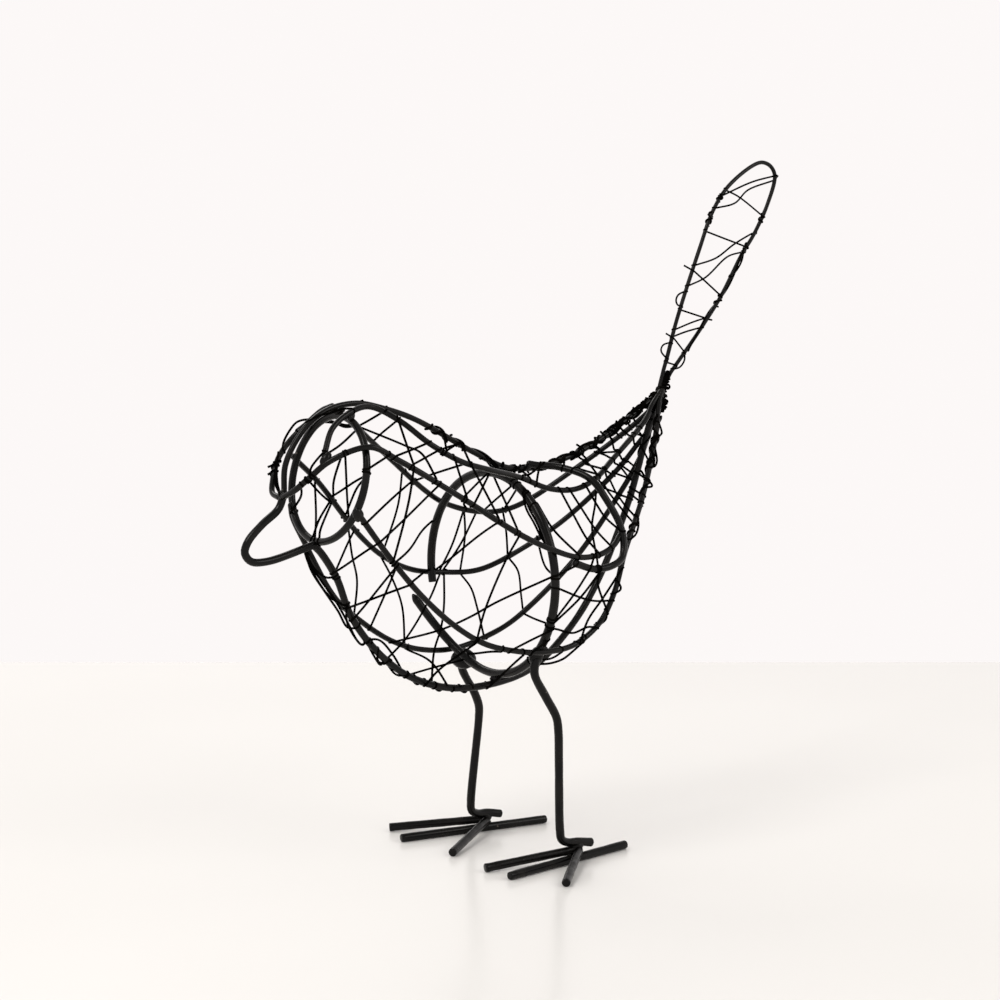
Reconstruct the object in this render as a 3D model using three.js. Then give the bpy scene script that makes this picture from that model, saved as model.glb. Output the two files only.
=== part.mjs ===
// A small standing bird of bent and welded iron wire, painted black, with its tail cocked up.
// Millimetres. The bird looks along -Y, its left side is +X and it stands on the plane Z = 0.
import * as THREE from 'three';

// Wire gauges, as diameters
const HEAVY = 2.4;
const MEDIUM = 2.0;
const LIGHT = 1.6;
const TAIL = 1.2;
const THREAD = 0.6;

// Facets round a wire, and the length of one facet along it
const SIDES = 6;
const THREAD_SIDES = 3;
const FACET_LENGTH = 5;
const BEND_FACET_LENGTH = 2.6;

// Air left between two pieces that are welded or bound together on the real bird
const GAP = 0.35;

// Body ring: a split ring across the body. Angles run from the top over the right side (-X).
// Its last stretch, from springFrom of its length on, is sprung forward by spring.
const BODY_RING = {
  centre: [-1.9, -12, 80.2],
  radius: 28.3,
  lean: 0,
  start: 102,
  end: -253,
  spring: -6.8,
  springFrom: 0.82,
};

// Head ring: smaller, with its lower side leaning forward, so that it stands behind the cheeks
const HEAD_RING = {
  centre: [0.5, -68, 111.3],
  radius: 16.8,
  lean: 13,
  start: 178,
  end: -178,
  spring: 0,
  springFrom: 0.75,
};

// Routes of the long wires, each from the head to the root of the tail
const BACK = [
  [0, -81.6, 108.8],
  [0, -81, 116],
  [0, -75.5, 124.4],
  [0, -68.5, 129.1],
  [0, -59, 130.6],
  [0, -49, 129],
  [0, -39.5, 125.6],
  [0, -19, 114.8],
  [0, -8.5, 110.4],
  [0, 1, 109],
  [0, 11, 110.4],
  [0, 22, 113.8],
  [0, 34, 119.5],
  [0, 43.6, 124.8],
];
const BELLY = [
  [0, -70.4, 92.2],
  [0, -65.4, 84.5],
  [0, -61, 74],
  [0, -53, 63.6],
  [0, -42, 55],
  [0, -28, 49.9],
  [0, -12, 49.2],
  [0, 1.5, 52.1],
  [0, 15, 61.8],
  [0, 25, 73.8],
  [0, 37.2, 97],
  [0, 45.2, 119.4],
];
const LEFT_UPPER = [
  [10.8, -76.2, 119.4],
  [7.8, -71.4, 125.5],
  [5.2, -64.1, 129.4],
  [4.8, -57, 129.6],
  [9.6, -51.3, 126.2],
  [14.9, -45.4, 120.2],
  [17.2, -37.3, 115.3],
  [16.2, -26.4, 112],
  [13, -13.2, 108.6],
  [13.4, -4, 105],
  [13.6, 5, 104],
  [12.8, 13, 106],
  [9.6, 22.4, 110.7],
  [4.8, 39, 120.7],
  [3, 43, 123.2],
];
const LEFT_SIDE = [
  [2.8, -82.6, 108.4],
  [5.6, -82, 109.7],
  [9.4, -79.6, 113.4],
  [12.8, -75.7, 117.6],
  [16.9, -66.2, 120.9],
  [18.4, -57.7, 116.8],
  [22.5, -41.3, 106.6],
  [26.3, -24.2, 95.5],
  [27.2, -14.5, 90.8],
  [27.3, -4.8, 87.6],
  [26.3, 3.9, 87.4],
  [24.4, 10.6, 89.3],
];
const LEFT_LOWER = [
  [17.4, -69.4, 102.6],
  [19.7, -60.4, 90.8],
  [21, -51.7, 81.9],
  [21.6, -42.4, 73.2],
  [22.1, -32.7, 67],
  [22.5, -22.8, 63.1],
  [22.6, -12.5, 61.6],
  [22, -1.1, 62.4],
  [21.6, 8.2, 67.6],
  [21.8, 13.3, 75.9],
  [22.4, 16, 85.8],
  [15.9, 28.6, 100.8],
  [6.6, 42, 119],
  [4.6, 44.6, 122],
];
const RIGHT_UPPER = [
  [-5, -60.4, 127.2],
  [-10.5, -53.6, 124.8],
  [-17.6, -41.3, 117.7],
  [-21, -31.2, 110.8],
  [-25.2, -17.6, 101.5],
  [-27.4, -9, 97],
  [-27.2, 1.6, 93.8],
  [-25.8, 9.8, 93.4],
  [-23.2, 16.3, 95.5],
  [-14.7, 30.9, 107],
  [-4.6, 43.2, 119.6],
  [-3, 44.2, 122.9],
];
const RIGHT_SIDE = [
  [-18.6, -65.6, 114.4],
  [-21.8, -56.5, 107.4],
  [-27.4, -38.8, 90.2],
  [-29.8, -28.9, 83],
  [-32.5, -17, 77.8],
  [-32.5, -6.2, 76],
  [-29.4, 3.2, 75.9],
  [-26.6, 10.4, 78.4],
  [-18, 26.1, 89.3],
  [-7.5, 38.6, 104.7],
  [-4.8, 45, 119.2],
];
const RIGHT_LOWER = [
  [-15.6, -69.6, 100.2],
  [-15.6, -65.6, 93],
  [-17.2, -54.6, 75.9],
  [-18.1, -47.1, 69.4],
  [-19.3, -34.5, 61.2],
  [-20.4, -23.5, 57.1],
  [-21, -11, 55.7],
  [-19.6, 0.2, 58.3],
  [-17.3, 8.7, 62.7],
  [-11.5, 25.7, 78.8],
  [-5.6, 36, 95.5],
  [-2.7, 42, 110],
  [-2.3, 45.4, 118.2],
];

// A loop on the left side that stands for the folded wing, and the far cheek of the face
const LEFT_WING = [
  [2.6, 1.4, 110],
  [6.8, 5.4, 109.6],
  [15.8, 9.2, 106.8],
  [20.4, 11.4, 101],
  [23.6, 14, 93],
  [26, 12.4, 86.2],
  [27.6, 7.5, 83.7],
  [27.6, 1, 83.4],
  [27.8, -5, 84.8],
];
const RIGHT_CHEEK = [
  [-2.8, -82.4, 107.6],
  [-5.4, -81.7, 108],
  [-8.4, -79.6, 111],
  [-10.8, -76.4, 116],
  [-12.4, -72, 120],
  [-11.6, -67.9, 123.8],
  [-7, -66, 128.4],
];

// The beak, one wire bent to a point
const BEAK = [
  [0, -82, 107.2],
  [0, -83.4, 104.4],
  [0, -88.4, 100.8],
  [0, -92.7, 96.8],
  [0, -93.8, 93.9],
  [0, -92, 91.5],
  [0, -87, 91.1],
  [0, -74.8, 93.7],
];

// The tail, one long narrow loop
const TAIL_LOOP = [
  [0, 50.2, 134.2],
  [0, 51.7, 138.3],
  [0, 55, 148.1],
  [0, 64.2, 169.8],
  [0, 68.8, 179.7],
  [0, 74.7, 187],
  [0, 84.8, 193.4],
  [0, 89.1, 194.5],
  [0, 92.7, 193.2],
  [0, 94.3, 190.4],
  [0, 91.6, 182.5],
  [0, 86, 173.3],
  [0, 81, 167.2],
  [0, 72.6, 154.9],
  [0, 63.1, 144],
  [0, 54.9, 135.4],
  [0, 53, 133.6],
];

// The binding at the root of the tail
const BINDING = {
  foot: [0, 46.3, 121.2],
  head: [0, 51.4, 132.8],
  footRadius: 2.4,
  headRadius: 1.6,
  turns: 9,
  rib: 0.25,
  sides: 8,
};

// Legs, from the weld under the body ring to the bent end that lies on the toes
const LEFT_LEG = [
  [20, -13.8, 58.2],
  [20, -14, 55.3],
  [20, -10, 48.3],
  [20, -6.2, 42],
  [20, -5.5, 38],
  [20, -5.3, 29.8],
  [20, -4.8, 11],
  [20, -4.1, 8.6],
  [20, -1.4, 7.3],
  [20, 1.8, 6.7],
  [20, 6.2, 5.9],
];
const RIGHT_LEG = [
  [-19.5, -10.2, 53],
  [-19.5, -9, 49.7],
  [-19.5, -4.3, 41.7],
  [-19.5, -2.9, 38],
  [-19.5, -2.9, 35],
  [-19.5, -5.9, 11],
  [-19.7, -5.4, 8.6],
  [-20, -3, 7.3],
  [-20.2, 0.9, 6.8],
  [-19.6, 5.2, 5.9],
];

// Feet: a straight rod flat on the ground, and a bent rod laid over it for the two side toes
const FEET = {
  left: {
    front: [23.3, -25.1],
    rear: [18.8, 20.1],
    outer: [37.7, -17.2],
    inner: [13.2, -25.6],
    fork: [20.4, 2],
  },
  right: {
    front: [-25.9, -26],
    rear: [-16.8, 19.7],
    outer: [-37.6, -21.8],
    inner: [-4.8, -23.6],
    fork: [-20.7, 1.4],
  },
};
const FORK_HEIGHT = 4.2;
const TOE_TIP_HEIGHT = 1.45;
const FORK_BEND = 0.11;

// Thin lacing wire over the body and the head, in lengths that bend round one wire after another.
// A tie is a wire and a place on it: a distance along Y or, on a ring, an angle. Three numbers alone
// are a bend in the air.
const LACED_LENGTHS = {
  body_lacing: [
    ['leftUpper', -40],
    ['leftSide', -39],
    ['rightUpper', -7],
  ],
  hip_lacing: [
    ['back', -16],
    ['bodyRing', -14],
    ['leftSide', -25],
    [25, -28, 89],
    [23, -33, 76],
    ['leftLower', -35],
    ['belly', -37],
  ],
  back_lacing: [
    ['rightUpper', 8],
    ['bodyRing', 10],
    ['rightUpper', 11],
    ['rightSide', 12],
    [-20, 12, 69],
    ['rightLower', 11],
    [8, -3, 62],
    ['bodyRing', -113],
    ['leftLower', -23],
  ],
  nape_lacing: [
    ['leftSide', -60],
    ['leftUpper', -47],
    ['leftSide', -54],
    ['leftUpper', -43],
    ['back', -31],
  ],
  shoulder_lacing: [
    ['leftUpper', -32],
    [-4, -29, 109],
    ['rightUpper', -22],
    ['rightSide', -30],
    [-23, -27, 70],
    ['rightLower', -28],
    ['belly', -30],
  ],
  throat_lacing: [
    ['belly', -66],
    ['leftLower', -65],
    ['leftSide', -47],
    [13, -45, 118],
    [-4, -48, 121],
    ['rightUpper', -49],
  ],
  breast_lacing: [
    ['belly', -68],
    [-15, -60, 91],
    ['rightSide', -42],
    [-24, -44, 86],
    ['rightLower', -50],
  ],
  collar_lacing: [
    ['leftSide', -43.5],
    ['leftLower', -61],
  ],
  crown_lacing: [
    ['rightCheek', -75],
    [-8, -74.5, 124],
    ['back', -71],
    ['leftUpper', -69],
  ],
  chest_lacing: [
    ['belly', -49],
    [-16, -33, 62],
    ['rightSide', -5],
    ['rightUpper', -1],
  ],
  flank_lacing: [
    ['belly', -24],
    [-17, -19, 63],
    ['rightSide', -2],
    ['rightUpper', 3],
    ['rightSide', 4],
    [-25, 1, 66],
    ['rightLower', 0],
  ],
  belly_lacing: [
    ['belly', -43],
    [-7, -30, 49.5],
    ['bodyRing', -205],
    ['leftLower', -28],
  ],
  crop_lacing: [
    ['leftLower', -55],
    ['belly', -61],
    ['leftLower', -58.5],
    ['rightLower', -47],
  ],
  thigh_lacing: [
    ['leftLower', -19],
    ['belly', -15],
  ],
  side_lacing: [
    ['back', -25],
    ['leftUpper', -36],
    ['leftSide', -31],
  ],
};

// Turn of a strand's end round its last wire, and the largest turn in one corner, in degrees
const HOOK = 150;
const LARGEST_TURN = 60;

// Thin wire wound round the rump, on planes that tilt with it. A station is a distance along the
// winding's own axis, which rises from -Y to +Y by its tilt.
const RUMP_LACING = { tilt: 46, stations: [89, 95, 100.5, 105.5, 110] };
const TAIL_LACING = { low: 139, high: 186, crossings: 13 };

// How far the rump's lacing stands off the wires it crosses, and the tail's off the middle of its wire
const LACING_LIFT = 1;
const TAIL_CLEARANCE = TAIL / 2 + THREAD + 1.5 * GAP;
const TAIL_SLACK = 1.25;

// A share of a step that is lost in rounding
const ROUNDING = 1e-6;

// Steps in which a wire is searched for a crossing
const SEARCH_STEPS = 400;

const paintedIron = (name) => new THREE.MeshStandardMaterial({
  name,
  color: 0x1b1a19,
  roughness: 0.42,
  metalness: 0.35,
});

const vector = (point) => new THREE.Vector3(...point);

// A smooth wire through its points
const route = (points) => new THREE.CatmullRomCurve3(points.map(vector), false, 'centripetal');

// An arc of a ring: lean tips its top back, spring carries its last stretch off along Y
class RingArc extends THREE.Curve {
  constructor(ring) {
    super();
    this.ring = ring;
  }

  atAngle(angle) {
    const t = (angle - this.ring.start) / (this.ring.end - this.ring.start);
    return { point: this.getPoint(t), along: this.getTangent(t) };
  }

  getPoint(t, target = new THREE.Vector3()) {
    const { centre, radius, lean, start, end, spring, springFrom } = this.ring;
    const angle = THREE.MathUtils.degToRad(start + (end - start) * t);
    const tip = THREE.MathUtils.degToRad(lean);
    const rise = radius * Math.cos(angle);
    const drift = spring * THREE.MathUtils.smoothstep(t, springFrom, 1);
    return target.set(
      centre[0] - radius * Math.sin(angle),
      centre[1] + rise * Math.sin(tip) + drift,
      centre[2] + rise * Math.cos(tip),
    );
  }
}

// A thin wire pulled straight from one corner to the next
class StrandCurve extends THREE.Curve {
  constructor(corners) {
    super();
    this.corners = corners;
  }

  getUtoTmapping(u) {
    return u;
  }

  getPoint(t, target = new THREE.Vector3()) {
    const last = this.corners.length - 1;
    const index = Math.min(Math.floor(t * last + ROUNDING), last - 1);
    return target.lerpVectors(this.corners[index], this.corners[index + 1], t * last - index);
  }

  getTangent(t, target = new THREE.Vector3()) {
    const last = this.corners.length - 1;
    const index = Math.round(t * last);
    const before = this.corners[Math.max(index - 1, 0)];
    const after = this.corners[Math.min(index + 1, last)];
    const here = this.corners[index];
    const arriving = index > 0 ? here.clone().sub(before).normalize() : new THREE.Vector3();
    const leaving = index < last ? after.clone().sub(here).normalize() : new THREE.Vector3();
    return target.copy(arriving).add(leaving).normalize();
  }
}

// Corner radius of a regular polygon with the same area as the round wire
function cornerRadius(diameter, sides) {
  const step = (2 * Math.PI) / sides;
  return (diameter / 2) * Math.sqrt(step / Math.sin(step));
}

function wireSection(diameter, sides) {
  const step = (2 * Math.PI) / sides;
  const radius = cornerRadius(diameter, sides);
  const corners = Array.from({ length: sides }, (_, i) => new THREE.Vector2(
    radius * Math.cos(step * (i + 0.5)),
    radius * Math.sin(step * (i + 0.5)),
  ));
  return new THREE.Shape(corners);
}

function bentWire(name, curve, diameter, facetLength = FACET_LENGTH) {
  const geometry = new THREE.ExtrudeGeometry(wireSection(diameter, SIDES), {
    extrudePath: curve,
    steps: Math.ceil(curve.getLength() / facetLength),
    bevelEnabled: false,
  });
  return named(name, geometry);
}

function named(name, geometry) {
  const mesh = new THREE.Mesh(geometry, paintedIron(name));
  mesh.name = name;
  return mesh;
}

// The straight middle toe lies on one flat of its six-sided rod
function middleToe(name, foot) {
  const front = new THREE.Vector3(...foot.front, HEAVY / 2);
  const rear = new THREE.Vector3(...foot.rear, HEAVY / 2);
  const corner = HEAVY / 2 / Math.cos(Math.PI / SIDES);
  const geometry = new THREE.CylinderGeometry(corner, corner, front.distanceTo(rear), SIDES);
  const mesh = named(name, geometry);
  geometry.rotateY(Math.PI / 2);
  mesh.position.copy(front).add(rear).multiplyScalar(0.5);
  mesh.rotation.z = Math.atan2(rear.y - front.y, rear.x - front.x) - Math.PI / 2;
  return mesh;
}

// The bent rod drops from its fork, over the middle toe, to two tips on the ground
function sideToes(name, foot) {
  const fork = new THREE.Vector3(...foot.fork, FORK_HEIGHT);
  const outer = new THREE.Vector3(...foot.outer, TOE_TIP_HEIGHT);
  const inner = new THREE.Vector3(...foot.inner, TOE_TIP_HEIGHT);
  const arm = (tip, share) => fork.clone().lerp(tip, share);
  const curve = new THREE.CurvePath();
  curve.add(new THREE.LineCurve3(inner, arm(inner, FORK_BEND)));
  curve.add(new THREE.QuadraticBezierCurve3(arm(inner, FORK_BEND), fork, arm(outer, FORK_BEND)));
  curve.add(new THREE.LineCurve3(arm(outer, FORK_BEND), outer));
  return bentWire(name, curve, HEAVY, BEND_FACET_LENGTH);
}

// A tight winding of thin wire, as a ribbed spindle round the wire ends
function tailBinding(name) {
  const foot = vector(BINDING.foot);
  const axis = vector(BINDING.head).sub(foot);
  const length = axis.length();
  const profile = [new THREE.Vector2(0, 0)];
  for (let i = 0; i <= 2 * BINDING.turns; i += 1) {
    const share = i / (2 * BINDING.turns);
    const plain = THREE.MathUtils.lerp(BINDING.footRadius, BINDING.headRadius, share);
    profile.push(new THREE.Vector2(plain - (i % 2 ? 0 : BINDING.rib), share * length));
  }
  profile.push(new THREE.Vector2(0, length));
  const mesh = named(name, new THREE.LatheGeometry(profile, BINDING.sides));
  mesh.position.copy(foot);
  mesh.quaternion.setFromUnitVectors(new THREE.Vector3(0, 1, 0), axis.normalize());
  return mesh;
}

// The point where a wire first reaches a distance along an axis, and its direction there
function crossing(curve, axis, distance, fromEnd = false) {
  const at = (i) => curve.getPoint((fromEnd ? SEARCH_STEPS - i : i) / SEARCH_STEPS);
  let before = at(0);
  for (let i = 1; i <= SEARCH_STEPS; i += 1) {
    const after = at(i);
    const short = distance - before.dot(axis);
    const past = after.dot(axis) - distance;
    if (short * past >= 0) {
      const along = after.clone().sub(before).normalize();
      return { point: before.lerp(after, short / (short + past)), along };
    }
    before = after;
  }
  return null;
}

// A winding goes over each long wire in turn, and on to the next station as it leaves the back
function wound(name, winding, wires) {
  const tilt = THREE.MathUtils.degToRad(winding.tilt);
  const axis = new THREE.Vector3(0, Math.cos(tilt), Math.sin(tilt));
  const corners = [];
  winding.stations.forEach((station, turn) => {
    const middle = crossing(back, axis, station).point.add(crossing(belly, axis, station).point);
    middle.multiplyScalar(0.5);
    wires.forEach(({ curve, diameter }, i) => {
      const onBack = i === 0 && turn > 0;
      const found = crossing(curve, axis, onBack ? winding.stations[turn - 1] : station);
      if (found === null) return;
      const { point, along } = found;
      const outward = point.clone().sub(middle);
      outward.addScaledVector(along, -outward.dot(along)).normalize();
      corners.push(point.addScaledVector(outward, diameter / 2 + THREAD / 2 + LACING_LIFT));
    });
  });
  return strand(name, corners);
}

// Where a tie is, with the direction of its wire there and how far off the strand has to pass
function tiePlace(tie, wires) {
  if (tie.length === 3) return { point: vector(tie) };
  const [name, place] = tie;
  const { curve, diameter } = wires[name];
  const found = curve instanceof RingArc
    ? curve.atAngle(place)
    : crossing(curve, new THREE.Vector3(0, 1, 0), place);
  const clear = cornerRadius(diameter, SIDES) + cornerRadius(THREAD, THREAD_SIDES) + GAP;
  return { ...found, reach: clear / Math.cos(THREE.MathUtils.degToRad(LARGEST_TURN / 2)) };
}

// A length of lacing. In the plane across a tied wire it runs on a circle round the wire, from where
// it arrives to where it leaves, with the wire inside the bend. At its two ends it is hooked on.
function lacedLength(name, ties, wires) {
  const places = ties.map((tie) => tiePlace(tie, wires));
  const middle = new THREE.Vector3(0, 0, BODY_RING.centre[2]);
  const corners = places.flatMap(({ point, along, reach }, i) => {
    if (!along) return [point];
    const before = places[i - 1]?.point;
    const after = places[i + 1]?.point;
    const across = (from, to) => to.clone().sub(from).projectOnPlane(along).normalize();
    const arriving = before ? across(before, point) : across(point, after);
    const sideways = along.clone().cross(arriving);
    const hooked = !before || !after;
    const leaving = hooked ? arriving : across(point, after);
    const bend = Math.atan2(leaving.dot(sideways), leaving.dot(arriving));
    const outward = point.clone().sub(middle.setY(point.y));
    const sense = hooked ? -Math.sign(outward.dot(sideways)) : Math.sign(bend);
    const sweep = hooked ? THREE.MathUtils.degToRad(HOOK) : Math.abs(bend);
    const start = before ? -Math.PI / 2 : -Math.PI / 2 - sweep;
    const steps = Math.ceil(sweep / THREE.MathUtils.degToRad(LARGEST_TURN));
    return Array.from({ length: steps + 1 }, (_, k) => {
      const angle = sense * (start + (sweep * k) / steps);
      const offset = arriving.clone().multiplyScalar(Math.cos(angle));
      offset.addScaledVector(sideways, Math.sin(angle));
      return point.clone().addScaledVector(offset, reach);
    });
  });
  return strand(name, corners);
}

// The tail's lacing goes in front of one side of the loop, round it and back behind the other
function tailLacing(name, loop) {
  const up = new THREE.Vector3(0, 0, 1);
  const corners = [];
  for (let i = 0; i < TAIL_LACING.crossings; i += 1) {
    const height = THREE.MathUtils.lerp(TAIL_LACING.low, TAIL_LACING.high, i / (TAIL_LACING.crossings - 1));
    const rear = i % 2 === 1;
    const side = rear ? 1 : -1;
    const { point, along } = crossing(loop, up, height, rear);
    const sideways = new THREE.Vector3(side * TAIL_CLEARANCE, 0, 0);
    const outward = sideways.clone().cross(along).negate();
    corners.push(point.clone().add(sideways).addScaledVector(along, -TAIL_CLEARANCE));
    corners.push(point.clone().addScaledVector(outward, TAIL_SLACK));
    corners.push(point.clone().sub(sideways).addScaledVector(along, TAIL_CLEARANCE));
  }
  return strand(name, corners);
}

function strand(name, corners) {
  return named(name, new THREE.ExtrudeGeometry(wireSection(THREAD, THREAD_SIDES), {
    extrudePath: new StrandCurve(corners),
    steps: corners.length - 1,
    bevelEnabled: false,
  }));
}

const bird = new THREE.Group();
bird.name = 'wire_bird';

const back = route(BACK);
const belly = route(BELLY);
const tailLoop = route(TAIL_LOOP);

// The wires that thin wire is laced to
const laced = {
  back: { curve: back, diameter: LIGHT },
  leftUpper: { curve: route(LEFT_UPPER), diameter: LIGHT },
  leftSide: { curve: route(LEFT_SIDE), diameter: LIGHT },
  leftLower: { curve: route(LEFT_LOWER), diameter: LIGHT },
  belly: { curve: belly, diameter: MEDIUM },
  rightLower: { curve: route(RIGHT_LOWER), diameter: LIGHT },
  rightSide: { curve: route(RIGHT_SIDE), diameter: LIGHT },
  rightUpper: { curve: route(RIGHT_UPPER), diameter: LIGHT },
  rightCheek: { curve: route(RIGHT_CHEEK), diameter: LIGHT },
  bodyRing: { curve: new RingArc(BODY_RING), diameter: HEAVY },
};

const { rightCheek, bodyRing, ...longWires } = laced;

const cage = new THREE.Group();
cage.add(bentWire('back_wire', back, LIGHT));
cage.add(bentWire('belly_wire', belly, MEDIUM));
cage.add(bentWire('left_upper_wire', laced.leftUpper.curve, LIGHT));
cage.add(bentWire('left_side_wire', laced.leftSide.curve, LIGHT));
cage.add(bentWire('left_lower_wire', laced.leftLower.curve, LIGHT));
cage.add(bentWire('right_upper_wire', laced.rightUpper.curve, LIGHT));
cage.add(bentWire('right_side_wire', laced.rightSide.curve, LIGHT));
cage.add(bentWire('right_lower_wire', laced.rightLower.curve, LIGHT));
cage.add(bentWire('left_wing_wire', route(LEFT_WING), MEDIUM));
cage.add(bentWire('body_ring', bodyRing.curve, HEAVY));
for (const [name, ties] of Object.entries(LACED_LENGTHS)) cage.add(lacedLength(name, ties, laced));
cage.add(wound('rump_lacing', RUMP_LACING, Object.values(longWires)));
bird.add(cage);

const head = new THREE.Group();
head.add(bentWire('head_ring', new RingArc(HEAD_RING), MEDIUM, BEND_FACET_LENGTH));
head.add(bentWire('right_cheek_wire', rightCheek.curve, LIGHT));
head.add(bentWire('beak_wire', route(BEAK), HEAVY, BEND_FACET_LENGTH));
bird.add(head);

const tail = new THREE.Group();
tail.add(bentWire('tail_loop', tailLoop, TAIL, BEND_FACET_LENGTH));
tail.add(tailBinding('tail_binding'));
tail.add(tailLacing('tail_lacing', tailLoop));
bird.add(tail);

const legs = new THREE.Group();
legs.add(bentWire('left_leg', route(LEFT_LEG), HEAVY, BEND_FACET_LENGTH));
legs.add(bentWire('right_leg', route(RIGHT_LEG), HEAVY, BEND_FACET_LENGTH));
legs.add(middleToe('left_middle_toe', FEET.left));
legs.add(middleToe('right_middle_toe', FEET.right));
legs.add(sideToes('left_side_toes', FEET.left));
legs.add(sideToes('right_side_toes', FEET.right));
bird.add(legs);

export default bird;
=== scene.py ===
"""A small standing bird of bent black wire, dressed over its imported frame.

The frame's wires are six-sided bars with air between them. Here they are round wires that touch, are welded,
and are bound with thin wire that runs from wire to wire, as on the real bird.
"""

import logging
import math
from dataclasses import dataclass, field
from enum import Enum
from typing import Iterable, Sequence

import bpy
import numpy as np
from numpy.typing import NDArray
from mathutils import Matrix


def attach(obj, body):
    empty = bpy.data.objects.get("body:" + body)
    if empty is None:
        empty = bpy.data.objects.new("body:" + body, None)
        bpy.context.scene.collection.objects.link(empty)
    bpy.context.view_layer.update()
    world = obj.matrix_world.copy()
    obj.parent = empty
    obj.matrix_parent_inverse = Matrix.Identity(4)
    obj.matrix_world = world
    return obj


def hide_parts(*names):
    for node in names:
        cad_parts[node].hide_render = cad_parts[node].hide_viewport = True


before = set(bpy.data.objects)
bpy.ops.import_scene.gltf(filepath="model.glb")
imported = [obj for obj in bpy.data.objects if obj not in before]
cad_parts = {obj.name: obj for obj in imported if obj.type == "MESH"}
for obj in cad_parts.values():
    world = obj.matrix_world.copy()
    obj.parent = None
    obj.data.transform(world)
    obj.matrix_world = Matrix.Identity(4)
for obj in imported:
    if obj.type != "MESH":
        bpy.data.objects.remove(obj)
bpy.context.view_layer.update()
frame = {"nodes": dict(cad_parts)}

log = logging.getLogger("wire_bird")
Array = NDArray[np.float64]
Point = tuple[float, float, float]

MM = 0.001
BODY = "root"

# Wire gauges in millimetres, as diameters
HEAVY = 2.4
MEDIUM = 2.0
LIGHT = 1.6
TAIL_GAUGE = 1.2
THREAD = 0.64
TAIL_THREAD = 0.54
BEAK_GAUGE = 2.1

# How uneven a wire's radius is under its paint, as a share, and how often that unevenness is softened
UNEVEN = 0.035
UNEVEN_PASSES = 6

# Sides of a round wire and of the thin binding wire
WIRE_SIDES = 16
THREAD_SIDES = 8

# Step along a wire and along the thin binding wire, in millimetres
WIRE_STEP = 0.8
THREAD_STEP = 0.35

# How far the pole of a wire's end stands off the last ring, in metres
POLE_REACH = 1e-6

# The shortest length that a vector is divided by
SHORTEST = 1e-12

# Fewest samples of an arc round a wire, and of a span between two ties
ARC_SAMPLES = 6
SPAN_SAMPLES = 4

# The random seed of all the unevenness
SEED = 7


class Slot(Enum):
    """The record's material slots."""

    ROD = "rod"
    FRAME = "frame_wire"
    BINDING = "binding_wire"


class End(Enum):
    """How a wire's end is shaped: pairs of (reach past the end, width), as shares of the radius."""

    CUT = ((0.0, 1.0), (0.1, 0.97), (0.2, 0.86), (0.24, 0.7))
    MELTED = ((0.0, 1.0), (0.35, 0.95), (0.7, 0.76), (0.92, 0.45))
    SNIPPED = ((0.0, 1.0), (0.6, 0.8), (1.2, 0.48), (1.6, 0.16))


def unit(vectors: Array) -> Array:
    """Vectors scaled to length one, along the last axis."""
    return vectors / np.maximum(np.linalg.norm(vectors, axis=-1, keepdims=True), SHORTEST)


def smooth_curve(given: Array, per_span: int = 24) -> Array:
    """A centripetal Catmull-Rom curve through points.

    Each span is the cubic that leaves and reaches its two points along the chords weighted by the square
    roots of the spans' lengths. Past each end the first and last chords are repeated.

    Args:
        given: The places that the wire passes, one row each.
        per_span: Samples on each span.

    Returns:
        The curve's samples, one row each.
    """
    padded = np.vstack([2 * given[0] - given[1], given, 2 * given[-1] - given[-2]])
    p0, p1, p2, p3 = padded[:-3], padded[1:-2], padded[2:-1], padded[3:]
    d0, d1, d2 = (np.sqrt(np.linalg.norm(b - a, axis=1))[:, None] for a, b in ((p0, p1), (p1, p2), (p2, p3)))
    leave = ((p1 - p0) / d0 - (p2 - p0) / (d0 + d1) + (p2 - p1) / d1) * d1
    reach = ((p2 - p1) / d1 - (p3 - p1) / (d1 + d2) + (p3 - p2) / d2) * d1
    u = (np.arange(per_span) / per_span)[None, :, None]
    a, b, m, n = p1[:, None], p2[:, None], leave[:, None], reach[:, None]
    curve = a + m * u + (3 * (b - a) - 2 * m - n) * u**2 + (2 * (a - b) + m + n) * u**3
    return np.vstack([curve.reshape(-1, 3), given[-1]])


def even_steps(path: Array, step: float) -> Array:
    """The same path in even steps along it, with its ends kept.

    Args:
        path: Samples of a curve, one row each.
        step: About how far apart the new samples are, in the same unit.

    Returns:
        The new samples.
    """
    along = np.concatenate([[0], np.cumsum(np.linalg.norm(np.diff(path, axis=0), axis=1))])
    count = max(2, int(round(along[-1] / step)) + 1)
    places = np.linspace(0, along[-1], count)
    return np.stack([np.interp(places, along, path[:, k]) for k in range(3)], 1)


def softened(path: Array, passes: int) -> Array:
    """The path with each inner sample moved to the mean of its neighbours and twice itself.

    Args:
        path: Samples of a curve, one row each.
        passes: How often that is done.

    Returns:
        The moved samples, as long as path.
    """
    path = path.copy()
    for _ in range(passes):
        path[1:-1] = (path[:-2] + 2 * path[1:-1] + path[2:]) / 4
    return path


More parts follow.
